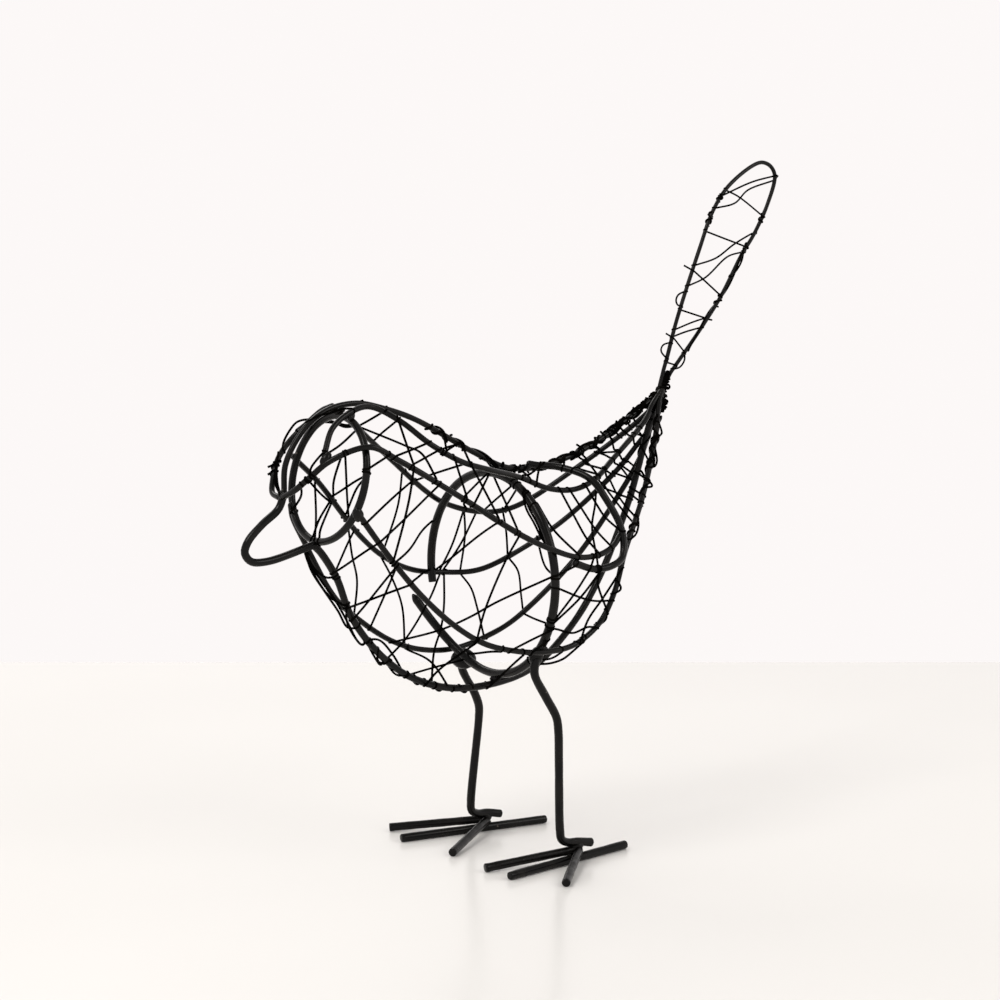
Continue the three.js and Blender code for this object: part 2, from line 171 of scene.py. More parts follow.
def carried_frames(path: Array) -> tuple[Array, Array, Array]:
    """Tangent, normal and binormal at each sample, without twist.

    A first normal is the cross product of the tangent with the axis it is least along. Each is then compared
    with its neighbour carried over by the smallest turn, and the angles between them are summed and undone.

    Args:
        path: Samples of a curve, one row each.

    Returns:
        Three arrays of unit vectors, as long as path.
    """
    tangent = unit(np.gradient(path, axis=0))
    raw = unit(np.cross(tangent, np.eye(3)[np.abs(tangent).argmin(1)]))
    a, b, normal = tangent[:-1], tangent[1:], raw[:-1]
    axis, cosine = np.cross(a, b), np.sum(a * b, axis=1, keepdims=True)
    share = np.sum(axis * normal, axis=1, keepdims=True) / (1 + cosine)
    moved = normal * cosine + np.cross(axis, normal) + axis * share
    lag = np.arctan2(np.sum(np.cross(moved, raw[1:]) * b, axis=1), np.sum(moved * raw[1:], axis=1))
    turn = -np.concatenate([[0], np.cumsum(lag)])[:, None]
    normal = np.cos(turn) * raw + np.sin(turn) * np.cross(tangent, raw)
    return tangent, normal, np.cross(tangent, normal)


@dataclass
class Surface:
    """Vertices and faces of a mesh, as whole arrays.

    Attributes:
        vertices: Places of the corners, in metres.
        quads: Faces with four corners, as numbers of vertices.
        triangles: Faces with three corners.
    """

    vertices: Array
    quads: NDArray[np.int64]
    triangles: NDArray[np.int64]

    @staticmethod
    def joined(parts: Iterable["Surface"]) -> "Surface":
        """Puts surfaces together as separate shells.

        Args:
            parts: The surfaces.

        Returns:
            One surface that holds them all.
        """
        parts = list(parts)
        starts = np.cumsum([0] + [len(p.vertices) for p in parts[:-1]])
        return Surface(
            np.vstack([p.vertices for p in parts]),
            np.vstack([p.quads + s for p, s in zip(parts, starts)]),
            np.vstack([p.triangles + s for p, s in zip(parts, starts)]),
        )

    def to_object(self, name: str) -> bpy.types.Object:
        """Makes a smooth-shaded mesh object at the origin.

        Args:
            name: The object's and the mesh's name.

        Returns:
            The new object, linked to the scene.
        """
        mesh = bpy.data.meshes.new(name)
        corners = np.concatenate([self.quads.ravel(), self.triangles.ravel()])
        totals = np.concatenate([np.full(len(self.quads), 4), np.full(len(self.triangles), 3)])
        mesh.vertices.add(len(self.vertices))
        mesh.vertices.foreach_set("co", self.vertices.ravel())
        mesh.loops.add(len(corners))
        mesh.loops.foreach_set("vertex_index", corners.astype(np.int32))
        mesh.polygons.add(len(totals))
        mesh.polygons.foreach_set("loop_start", (np.cumsum(totals) - totals).astype(np.int32))
        mesh.polygons.foreach_set("loop_total", totals.astype(np.int32))
        mesh.polygons.foreach_set("use_smooth", np.ones(len(totals), bool))
        mesh.update(calc_edges=True)
        mesh.validate()
        obj = bpy.data.objects.new(name, mesh)
        bpy.context.scene.collection.objects.link(obj)
        return obj


def closed_grid(rings: Array, first: Array, last: Array) -> Surface:
    """A closed surface from rings of points and a pole at each end.

    Args:
        rings: Points of shape (rings, sides, 3), each ring turning the same way seen from the first pole.
        first: The pole before the first ring.
        last: The pole after the last ring.

    Returns:
        The surface, with quads between rings and triangles at the poles.
    """
    count, sides = rings.shape[:2]
    index = np.arange(count * sides).reshape(count, sides)
    after = np.roll(index, -1, axis=1)
    quads = np.stack([index[:-1], after[:-1], after[1:], index[1:]], -1).reshape(-1, 4)
    poles = count * sides, count * sides + 1
    low = np.stack([np.full(sides, poles[0]), after[0], index[0]], 1)
    high = np.stack([np.full(sides, poles[1]), index[-1], after[-1]], 1)
    vertices = np.vstack([rings.reshape(-1, 3), first, last])
    return Surface(vertices, quads, np.vstack([low, high]))


def round_wire(path: Array, radius: Array | float, sides: int, ends: tuple[End, End]) -> Surface:
    """A round wire: a circle of the given radius carried along the path, with shaped ends.

    Args:
        path: Samples of the centre line, in metres.
        radius: The wire's radius at each sample, or one for all, in metres.
        sides: Corners of the circle.
        ends: How the first and the last end are shaped.

    Returns:
        A closed surface.
    """
    widths = np.broadcast_to(radius, len(path)).astype(float)
    tangent, normal, binormal = carried_frames(path)
    first, last = (np.array(end.value[1:]) for end in ends)
    before = path[0] - tangent[0] * widths[0] * first[::-1, :1]
    beyond = path[-1] + tangent[-1] * widths[-1] * last[:, :1]
    centres = np.vstack([before, path, beyond])
    widths = np.concatenate([widths[0] * first[::-1, 1], widths, widths[-1] * last[:, 1]])
    repeat = [len(first) + 1] + [1] * (len(path) - 2) + [len(last) + 1]
    normal, binormal = np.repeat(normal, repeat, axis=0), np.repeat(binormal, repeat, axis=0)
    angle = np.linspace(0, 2 * np.pi, sides, endpoint=False)[None, :, None]
    circle = np.cos(angle) * normal[:, None] + np.sin(angle) * binormal[:, None]
    rings = centres[:, None] + widths[:, None, None] * circle
    return closed_grid(rings, centres[0] - tangent[0] * POLE_REACH, centres[-1] + tangent[-1] * POLE_REACH)


@dataclass
class Wire:
    """One bent wire of the bird, with its centre line sampled in even steps.

    Attributes:
        node: The node of the frame that it stands for.
        path: Samples of the centre line, in metres.
        gauge: The wire's diameter in millimetres.
        slot: The material slot of its finish.
        ends: How its two ends are shaped.
    """

    node: str
    path: Array
    gauge: float
    slot: Slot = Slot.FRAME
    ends: tuple[End, End] = (End.MELTED, End.MELTED)

    @property
    def radius(self) -> float:
        """The wire's radius in metres."""
        return self.gauge / 2 * MM

    @property
    def tangent(self) -> Array:
        """The wire's direction at each sample."""
        return unit(np.gradient(self.path, axis=0))

    def surface(self, rng: np.random.Generator) -> Surface:
        """The wire's surface, its radius uneven by a hundredth or two, as hand-painted wire is.

        Args:
            rng: Where the unevenness comes from.

        Returns:
            A closed surface.
        """
        rough = softened(rng.normal(0, 1, (len(self.path), 1)), UNEVEN_PASSES)[:, 0]
        widths = self.radius * (1 + UNEVEN * rough)
        return round_wire(self.path, widths, WIRE_SIDES, self.ends)

    def nearest(self, camera: "PhotoCamera", pixel: Array) -> int:
        """The number of the sample that shows nearest a pixel."""
        return int(np.linalg.norm(camera.pixels(self.path) - pixel, axis=1).argmin())


def bent(node: str, points: Sequence[Point], gauge: float, slot: Slot = Slot.FRAME,
         cut: bool = False) -> Wire:
    """A wire that runs smoothly through points.

    Args:
        node: The node of the frame that it stands for.
        points: The places that it passes, in millimetres.
        gauge: Its diameter in millimetres.
        slot: The material slot of its finish.
        cut: Whether its ends are cut square and show.

    Returns:
        The wire.
    """
    ends = (End.CUT, End.CUT) if cut else (End.MELTED, End.MELTED)
    route = smooth_curve(np.asarray(points, float) * MM)
    return Wire(node, even_steps(route, WIRE_STEP * MM), gauge, slot, ends)


@dataclass(frozen=True)
class RingArc:
    """A ring or a part of one, across the bird, in millimetres and degrees.

    Attributes:
        centre: Its middle.
        radius: Its radius.
        start: The angle that it starts at, from the top over the right side.
        end: The angle that it ends at.
        lean: How far its top is tipped back.
        spring: How far along Y its last stretch is sprung, more and more towards its end.
        spring_from: The share of its length where that stretch starts.
        samples: Samples along it.
    """

    centre: Point
    radius: float
    start: float
    end: float
    lean: float = 0.0
    spring: float = 0.0
    spring_from: float = 0.85
    samples: int = 400

    def path(self) -> Array:
        """The ring's centre line: the centre, the radius times a direction, and the spring.

        The direction is (-sin a, cos a sin lean, cos a cos lean), where a goes evenly from start to end. The
        spring grows with the square of the share of the last stretch that is passed.

        Returns:
            Samples in metres.
        """
        share = np.linspace(0, 1, self.samples)
        angle = np.radians(self.start + (self.end - self.start) * share)
        rise, tip = self.radius * np.cos(angle), math.radians(self.lean)
        ramp = np.clip((share - self.spring_from) / (1 - self.spring_from), 0, 1)
        drift = self.spring * ramp**2
        offsets = [-self.radius * np.sin(angle), rise * math.sin(tip) + drift, rise * math.cos(tip)]
        return even_steps((np.array(self.centre) + np.stack(offsets, 1)) * MM, WIRE_STEP * MM)


# Routes of the body's long wires in millimetres, each from the head to the root of the tail
BACK = (
    (0, -81.6, 108.4), (0, -81, 116), (0, -75.5, 124.4), (0, -68.5, 129.1), (0, -59, 130.6),
    (0, -49, 128.5), (0, -39.5, 125.2), (0, -19, 114.6), (0, -8.5, 110), (0, 1, 109),
    (0, 11, 110.4), (0, 22, 113.8), (0, 34, 119.5), (0, 43.6, 124.8), (0, 48.6, 127.6),
)
BELLY = (
    (0, -72.2, 93.6), (0, -70.2, 91.6), (0, -65.4, 84.5), (0, -61, 74), (0, -53, 63.6), (0, -42, 55),
    (0, -28, 49.9), (0, -12, 49.2), (0, 1.5, 52.1), (0, 15, 61.8), (0, 25, 73.8), (0, 37.2, 97),
    (0, 45.2, 119.4), (0.5, 48.6, 127.4),
)
LEFT_UPPER = (
    (10.8, -76.2, 119), (7.8, -71.4, 125.5), (6.4, -63.8, 129.5), (5.2, -57.2, 129.9), (9.6, -51.3, 126.2),
    (14.9, -45.4, 120.2), (17.2, -37.3, 115.3), (16.2, -26.4, 112), (13, -13.2, 108.6), (13.4, -4, 105),
    (13.6, 5, 104), (12.8, 13, 106), (9.6, 22.4, 110.7), (4.8, 39, 120.7), (2.2, 43.6, 124.2),
    (0.9, 48.4, 128.2),
)
LEFT_SIDE = (
    (1.8, -82.6, 107.9), (5.6, -82, 109.7), (9.4, -79.6, 113.4), (12.8, -75.7, 117.6), (16.9, -66.2, 120.9),
    (18.4, -57.7, 116.8), (22.5, -41.3, 106.6), (26.3, -24.2, 95.5), (27.2, -14.5, 90.8), (27.3, -4.8, 87.6),
    (26.3, 3.9, 87.4), (24.6, 10.4, 89.2), (23.4, 13.6, 91.6),
)
LEFT_LOWER = (
    (17, -69.6, 103.4), (19.7, -61, 90.8), (21, -52.8, 81.2), (21.6, -43.1, 72.6), (22.1, -33, 66.3),
    (22.5, -22.8, 63.1), (22.6, -12.5, 61.6), (22, -1.1, 62.4), (21.6, 8.2, 67.6), (21.8, 13.3, 75.9),
    (22.4, 16, 85.8), (15.9, 28.6, 100.8), (6.6, 42, 119), (3.2, 45.4, 123.6), (1.2, 48.8, 128.4),
)
RIGHT_UPPER = (
    (-3.6, -62, 128), (-5.6, -60, 127), (-10.5, -53.6, 124.8), (-17.6, -41.3, 117.7), (-21, -31.2, 110.8),
    (-25.2, -17.6, 101.5), (-27.4, -9, 97), (-27.2, 1.6, 93.8), (-25.8, 9.8, 93.4), (-23.2, 16.3, 95.5),
    (-14.5, 31.2, 106.6), (-4.2, 44.3, 119.4), (-1.2, 47.2, 123.8), (-0.4, 48.6, 128),
)
RIGHT_SIDE = (
    (-17.2, -67.6, 115.6), (-18.6, -65.2, 114), (-21.8, -56.5, 107.4), (-27.4, -38.8, 90.2),
    (-29.8, -28.9, 83), (-32.5, -17, 77.8), (-32.5, -6.2, 76), (-29.4, 3.2, 75.9), (-26.6, 10.4, 78.4),
    (-18, 26.1, 89.3), (-7.5, 38.6, 104.7), (-3.9, 42.7, 111.6), (-0.2, 46.6, 119.4), (-0.4, 48.2, 126.6),
)
RIGHT_LOWER = (
    (-13.2, -71, 103), (-14.8, -69.4, 99.4), (-15.6, -65.6, 93), (-17.2, -54.6, 75.9), (-18.1, -47.1, 69.4),
    (-19.3, -34.5, 61.2), (-20.4, -23.5, 57.1), (-21, -11, 55.7), (-19.6, 0.2, 58.3), (-17.3, 8.7, 62.7),
    (-11.5, 25.7, 78.8), (-5.6, 36, 95.5), (-1.8, 43.6, 110), (-0.8, 46.6, 119.6), (-0.4, 48.3, 126.8),
)
LEFT_WING = (
    (0.9, -0.6, 110.4), (2.6, 1.4, 110), (6.8, 5.4, 109.6), (15.8, 9.2, 106.8), (20.4, 11.4, 101),
    (23.6, 14, 93), (26, 12.4, 86.2), (27.6, 7.5, 84.2), (27.6, 1, 83.8), (27.8, -6, 86),
)

# The face: the far cheek and the beak, which is one wire bent to a point
RIGHT_CHEEK = (
    (-1.4, -82.2, 107.2), (-5.4, -81.7, 108), (-8.4, -79.6, 111), (-10.8, -76.4, 116), (-12.4, -72, 120),
    (-11.6, -67.9, 123.8), (-6, -65.6, 128.6), (-2.6, -64.6, 130),
)
BEAK = (
    (0, -81.8, 107.6), (0, -83.4, 104.4), (0, -88.4, 100.8), (0, -92.7, 96.8), (0, -93.8, 93.9),
    (0, -92, 91.5), (0, -87, 91), (0, -74.8, 93.5), (0.2, -71.6, 94.4),
)

# The split ring across the body and the ring inside the head
BODY_RING = RingArc(centre=(-1.9, -12, 80.2), radius=28.3, start=102, end=-248.5, spring=-6.8)
HEAD_RING = RingArc(centre=(0.5, -68, 111.3), radius=16.8, start=180, end=-180, lean=13)

# The tail, one long narrow loop whose two ends go down into its root
TAIL_LOOP = (
    (0, 47.2, 124.6), (0, 50.2, 134.2), (0, 51.7, 138.3), (0, 55, 148.1), (0, 64.2, 169.8),
    (0, 68.8, 179.7), (0, 74.7, 187), (0, 84.8, 193.4), (0, 89.1, 194.5), (0, 92.7, 193.2),
    (0, 94.3, 190.4), (0, 91.6, 182.5), (0, 86, 173.3), (0, 81, 167.2), (0, 72.6, 154.9),
    (0, 63.1, 144), (0, 54.9, 135.4), (0, 52.4, 132.6), (0, 48.4, 124.4),
)

# The middle of the binding at the root of the tail
TAIL_ROOT = ((0, 46.6, 121.6), (0, 47.9, 124.9), (0, 48.9, 127), (0, 50, 129.4), (0, 51.8, 133.4))

# Its radius in millimetres at shares of that length
TAIL_ROOT_WIDTHS = (
    (0, 1.1), (0.13, 2.2), (0.26, 3), (0.36, 2.5), (0.45, 1.9), (0.55, 1.4), (0.68, 1.2), (0.82, 1.1),
    (1, 0.8),
)

# Its coils of thin wire: the way that each runs along it, its turns, its radius as a share of those widths,
# and how uneven it is
TAIL_ROOT_COILS = ((1, 12, 1.0, 0.1), (-1, 7, 1.05, 0.12))

# The wires' ends under them, as a share of those widths
TAIL_ROOT_CORE = 0.92

# Legs, from the weld under the body ring to the bent end that lies on the toes
LEFT_LEG = (
    (20, -13.6, 59.4), (20, -14, 55.3), (20, -10, 48.3), (20, -6.2, 42), (20, -5.5, 38), (20, -5.3, 29.8),
    (20, -4.8, 9.6), (20, -4.3, 7.2), (20, -2, 5.9), (20.1, 1.8, 5.5), (20.2, 6.2, 4.6),
)
RIGHT_LEG = (
    (-17.4, -10.9, 54.8), (-19.4, -9, 49.7), (-19.5, -4.3, 41.7), (-19.5, -2.9, 38), (-19.5, -2.9, 35),
    (-19.5, -5.9, 10), (-19.7, -5.5, 7.4), (-20, -3.2, 6), (-20.4, 0.9, 5.5), (-19.9, 5.2, 4.6),
)

# Heights of the toes' middles: flat on the ground, and where a bent rod lies over the straight one
GROUND_TOE = 1.2
FORK_HEIGHT = 3.5

# How often the path of a bent toe rod is softened, which rounds its corner
CORNER_PASSES = 12


@dataclass(frozen=True)
class Foot:
    """One foot in millimetres: a straight rod on the ground and a rod bent to a V laid over it.

    Attributes:
        side: The side that it stands on.
        front: The front end of the straight rod.
        rear: Its rear end.
        outer: The end of the bent rod away from the bird's middle.
        inner: Its other end.
        fork: Its corner, over the straight rod.
    """

    side: str
    front: tuple[float, float]
    rear: tuple[float, float]
    outer: tuple[float, float]
    inner: tuple[float, float]
    fork: tuple[float, float]

    def middle_toe(self) -> Wire:
        """The straight rod.

        Returns:
            The wire.
        """
        ends = [(*self.front, GROUND_TOE), (*self.rear, GROUND_TOE)]
        path = even_steps(np.array(ends) * MM, WIRE_STEP * MM)
        return Wire(f"{self.side}_middle_toe", path, HEAVY, Slot.ROD, (End.CUT, End.CUT))

    def side_toes(self) -> Wire:
        """The rod bent to a V, its corner rounded by softening the path.

        Returns:
            The wire.
        """
        corners = [(*self.inner, GROUND_TOE), (*self.fork, FORK_HEIGHT), (*self.outer, GROUND_TOE)]
        path = softened(even_steps(np.array(corners) * MM, WIRE_STEP * MM / 2), CORNER_PASSES)
        return Wire(f"{self.side}_side_toes", path, HEAVY, Slot.ROD, (End.CUT, End.CUT))


LEFT_FOOT = Foot("left", (23.3, -25.1), (18.8, 20.1), (37.7, -17.2), (13.2, -25.6), (20.4, 2))
RIGHT_FOOT = Foot("right", (-25.9, -26), (-16.8, 19.7), (-37.6, -21.8), (-4.8, -23.6), (-20.7, 1.4))


@dataclass(frozen=True)
class PhotoCamera:
    """The photograph's pinhole camera. Pixels are those of its 1000 x 1000 frame.

    Attributes:
        azimuth: Direction that it stands in, in degrees from -Y towards +X.
        pitch: How far it looks down, in degrees.
        place: Where it stands, in metres.
        focal: Its focal length in pixels.
        frame: The picture's width and height in pixels.
        sensor: The sensor's width in millimetres.
        sight: The nearest and the farthest that it shows, in metres.
    """

    azimuth: float = 52.0
    pitch: float = 7.5
    place: Point = (0.5220, -0.4182, 0.1881)
    focal: float = 2400.0
    frame: float = 1000.0
    sensor: float = 36.0
    sight: tuple[float, float] = (0.01, 20.0)

    @property
    def axes(self) -> tuple[Array, Array, Array]:
        """The picture's directions.

        Returns:
            Unit vectors to its right, up, and into it.
        """
        a, e = math.radians(self.azimuth), math.radians(self.pitch)
        right = np.array([math.cos(a), math.sin(a), 0.0])
        into = np.array([-math.sin(a) * math.cos(e), math.cos(a) * math.cos(e), -math.sin(e)])
        return right, np.cross(right, into), into

    def pixels(self, points: Array) -> Array:
        """Where points show: the middle and the focal length times their place over their depth.

        Args:
            points: Points in metres, along the last axis.

        Returns:
            Their columns and rows of pixels.
        """
        right, up, into = self.axes
        seen = points - np.array(self.place)
        depth = seen @ into
        middle = self.frame / 2
        return np.stack([middle + self.focal * (seen @ right) / depth,
                         middle - self.focal * (seen @ up) / depth], -1)

    def depth(self, point: Array) -> float:
        """How far into the picture a point lies, in metres."""
        return float((point - np.array(self.place)) @ self.axes[2])

    def point(self, pixel: Sequence[float], depth: float) -> Array:
        """The point that shows at a pixel and lies at a depth.

        Args:
            pixel: The column and the row.
            depth: The depth in metres.

        Returns:
            The point in metres.
        """
        right, up, into = self.axes
        middle = self.frame / 2
        across, rise = (pixel[0] - middle) / self.focal, (middle - pixel[1]) / self.focal
        return np.array(self.place) + depth * (into + across * right + rise * up)

    def build(self) -> None:
        """Makes the camera and sets it as the scene's."""
        data = bpy.data.cameras.new("photo_camera")
        data.sensor_width = self.sensor
        data.lens = self.sensor * self.focal / self.frame
        data.clip_start, data.clip_end = self.sight
        camera = bpy.data.objects.new("photo_camera", data)
        camera.location = self.place
        camera.rotation_euler = (math.radians(90 - self.pitch), 0, math.radians(self.azimuth))
        bpy.context.scene.collection.objects.link(camera)
        bpy.context.scene.camera = camera


# Thin binding wire, strand by strand. Each strand is a row of ties, and each tie is the name of the wire
# that it goes round and the pixel of the photograph where it does. A pixel alone is a bend or a free end in
# the air.
HEAD_STRANDS = (
    "left_side@346,453 right_side@345,520",
    "left_side@344,455 334,480 right_side@330,498",
    "right_side@330,499 head_ring@364,473",
    "head_ring@363,472 357,488 right_side@346,515",
    "right_side@312,487 316,515 head_ring@317,540",
    "right_side@326,504 319,520 head_ring@315,538",
    "right_side@328,505 321,528 head_ring@320,539",
    "left_upper@326,452 right_upper@355,429",
    "cheek@279,450 284,441 290,430 297,422 307,419.5 320,420.5 333,421.5"
    " 345,425 right_upper@355,429",
    "cheek@296,431 309,421.5 322,422 334,423 345,427 right_upper@356,430",
    "back@307,422 318,416 330,413 342,409 left_upper@350,406",
    "cheek@280,452 277,462 276,474 275.5,484 beak@281,495",
    "cheek@272,460 276,470 277.5,484 279,490 beak@284,496",
    "left_side@307,482 right_side@328,504",
    "left_side@313,477 311,468 315,462 left_upper@322,462",
    "left_side@303,486 301,496 head_ring@298,512",
    "head_ring@370,469 left_side@387,457",
    "right_lower@305,548 314,568 325,577 belly@334,575",
    "cheek@271,465 269.5,466.5 268,467",
    "cheek@270,472 269,474 268,474.5",
    "back@360,403 363,400.5",
    "back@384,409 387,406.5",
)
NECK_STRANDS = (
    "left_lower@366,521 right_upper@413,483",
    "belly@336,571 left_lower@380,541 left_side@438,484",
    "right_side@355,531 347,545 belly@338,576",
    "right_side@345,529 352,555 357,580 right_lower@357,616",
    "left_upper@395,421 404,437 left_side@415,466 410,495 404,522 left_lower@393,560",
    "right_upper@404,472 398,505 right_side@385,552",
    "left_lower@396,561 body_ring@432,521",
    "right_upper@360,427 left_upper@384,414",
    "right_upper@375,441 left_upper@396,422",
    "right_upper@361,429 382,436 406,446 422,454 left_side@437,479",
    "left_side@393,456 left_upper@428,448",
    "left_side@408,469 left_upper@437,454",
    "back@440,436 left_upper@445,451",
    "left_upper@444,449 back@457,450",
    "left_upper@447,450 back@456,448",
    "right_upper@417,480 436,473 left_upper@470,465",
    "left_upper@450,459 left_side@467,497 right_upper@465,511",
    "back@458,443 left_upper@469,464 left_side@499,521",
    "back@484,458 body_ring@491,478 left_side@517,533",
    "body_ring@491,479 left_side@466,495",
    "body_ring@491,480 left_side@474,503",
    "body_ring@510,488 right_upper@486,511",
    "body_ring@512,490 right_upper@505,510",
    "back@481,458 484,455.5",
    "back@483,460 494,464 506,467 back@514,472",
    "back@486,462 497,468 508,471 body_ring@518,477",
)
MIDDLE_STRANDS = (
    "right_upper@465,511 465,535 right_side@462,571 471,588 477,607 right_lower@487,638",
    "right_upper@504,510 506,530 right_side@509,556 518,571 521,594 right_lower@524,613"
    " 535,619 body_ring@549,626",
    "left_side@517,534 506,560 485,610 left_lower@476,638",
    "right_lower@391,640 440,630 470,617 497,602 body_ring@551,577 wing@575,562",
    "belly@349,606 left_lower@411,581 body_ring@432,571 left_side@500,524",
    "right_upper@479,512 460,545 right_side@444,573",
    "right_upper@464,512 452,545 right_side@440,574 429,600 407,637 belly@389,658",
    "right_side@446,573 444,605 441,628 434,652 belly@434,685",
    "right_side@384,556 392,578 402,606 right_lower@408,644",
    "left_lower@396,564 belly@355,618",
    "left_lower@398,566 386,592 right_lower@371,628",
    "right_side@541,543 545,566 body_ring@552,580",
    "body_ring@519,498 526,508 534,523 541,537 body_ring@546,550",
    "body_ring@521,499 529,508 537,523 543,537 body_ring@548,551",
    "body_ring@550,627 558,629.5 573,633 588,627 left_lower@596,625",
)
BELLY_STRANDS = (
    "right_lower@306,551 310,563 322,582 335,600 349,625 355.5,638 361,644.5 belly@367,642",
    "right_lower@305,549 311,570 325,592 338,611 347,627 belly@354,628",
    "right_lower@304,546 308,562 318,581 330,597 belly@344,605",
    "belly@341,605 347,622 356,639 362,645 belly@369,642",
    "belly@369,644 374,656 380.5,665 belly@387,661",
    "belly@374,650 378,661 384,664 belly@390,661",
    "belly@388,662 394,673 399,675.5 belly@406,672",
    "belly@412,678 417,684.5 belly@422,682",
    "belly@434,686 439,691 belly@445,688",
    "belly@459,688 465,692.5 belly@471,689",
    "belly@369,640 379,640 393,655 belly@407,672",
    "right_lower@409,646 431,662 belly@452,686",
    "belly@407,673 432,668 body_ring@462,659 left_lower@501,649",
    "belly@425,682 440,669 left_lower@478,638",
    "belly@486,684 left_lower@523,653",
    "body_ring@549,627 left_lower@510,649",
    "body_ring@547,637 left_lower@530,652",
    "body_ring@536,665 549,663.5 563,659 572,652 left_lower@583,640",
    "body_ring@539,662 551,658.5 left_lower@561,649",
    "left_lower@586,637 583,643 left_lower@575,645",
    "left_lower@607,612 606,619 left_lower@600,625",
    "left_lower@620,581 621,589 left_lower@615,595",
)
RUMP_STRANDS = (
    "body_ring@536,505 553,529 left_side@577,557",
    "left_upper@559,487 573,514 587,539 left_side@597,554",
    "left_upper@568,487 580,506 596,530 left_side@609,549",
    "left_upper@583,486 597,505 605,517 wing@616,533",
    "back@575,456 right_upper@584,461 left_upper@602,471 right_side@609,480 right_lower@619,496"
    " left_lower@635,518",
    "back@577,445 right_upper@587,460",
    "right_upper@583,462 590,465 left_upper@597,476",
    "wing@574,471 left_upper@597,476",
    "back@588,446 right_upper@600,449 left_upper@618,454 right_side@625,461 belly@637,470"
    " left_lower@650,484",
    "right_upper@594,454 left_upper@612,460 right_side@620,466 right_lower@629,479",
    "right_upper@612,441 614,449 left_upper@619,452",
    "back@592,444 right_upper@598,450",
    "back@608,434 right_upper@613,441",
    "back@614,430 right_upper@618,436",
    "back@620,426 right_upper@624,431",
    "back@627,422 right_upper@630,427",
    "back@633,417 right_upper@636,422",
    "right_upper@624,432 left_upper@631,437 right_side@638,445",
    "left_upper@633,434 right_side@643,437",
    "left_upper@640,428 right_side@645,437 belly@650,447 left_lower@656,462",
    "left_upper@604,470 right_side@611,475",
    "right_side@615,474 right_lower@628,479",
    "right_side@624,468 right_lower@633,473",
    "right_side@603,490 right_lower@618,495",
    "right_lower@620,496 belly@629,499",
    "belly@640,474 left_lower@648,481",
    "left_lower@650,481 652.5,486 left_lower@648,490",
    "belly@634,490 left_lower@645,497",
    "belly@633,495 left_lower@644,503",
    "left_upper@598,477 right_side@605,487 610,494 625,513 left_lower@632,523",
    "left_upper@595,478 596,490 595,505 592,527 left_side@594,555 wing@597,567 598,585"
    " left_lower@603,612",
    "body_ring@560,588 582,598 596,601 left_lower@608,600",
    "left_side@593,556 wing@588,566 575,593 body_ring@557,620",
    "wing@600,567 580,598 body_ring@556,622",
    "left_lower@618,567 603,598 588,620 left_lower@577,642",
    "left_lower@634,515 638.5,524 636,534 left_lower@628,541",
    "left_upper@520,479 530,474 wing@545,468",
    "back@515,470 left_upper@528,482",
    "left_upper@535,484 wing@541,469",
    "back@565,458 wing@562,471",
    "back@580,448 576.5,444.5",
    "back@603,435 600.5,431.5",
    "back@618,425 616,421",
    "back@636,412 633,407.5",
    "back@645,407 641,402.5",
    "back@650,402 645.5,398",
    "left_lower@659,424 661.6,431 661.4,434 left_lower@658,441",
    "left_lower@656,449 657,461 655,466 left_lower@652,470",
    "tail@665,385 668.5,384.5 670,386.8 668.5,389 tail@665,389",
)
TAIL_STRANDS = (
    "tail@774,176 752,182 tail@724,196",
    "778,175.5 tail@773,181 748,190 735,203 tail@716,208",
    "tail@726,190 739,197 tail@762,218",
    "tail@707,230 723,238 tail@747,248",
    "tail@752,233 744,238 733,245 716,258 tail@696,265",
    "tail@745,252 742,260 737.5,269 tail@731,277 729.5,282 726.5,288 tail@720,296",
    "tail@742,252 727,257 706,277 tail@689,287",
    "684,265.5 tail@692,270 706,282 tail@720,296",
    "tail@681,309 693,314 tail@709,318 712,320",
    "tail@705,318 693,322 tail@675,331",
    "tail@699,326 685,332 tail@673,339",
    "666,333.5 tail@671,336 tail@683,354",
    "tail@667,362 tail@677,366",
    "tail@683,291 678,295 676,301 678,305.5 tail@682,307",
    "tail@668,342 663,345 661,351 tail@666,358",
    "tail@684,352 684.5,360 680,367 tail@672,370",
)


@dataclass(frozen=True)
class Winding:
    """Thin wire wound along a stretch of one wire.

    Attributes:
        start: The tie that it starts at.
        end: The tie of the same wire that it ends at.
        turns: Number of turns, less than 0 for the other sense.
        lift: How far its middle stands off the wire, in millimetres.
        wander: How uneven it is, as a share of the radius.
    """

    start: str
    end: str
    turns: float
    lift: float = 0.1
    wander: float = 0.04


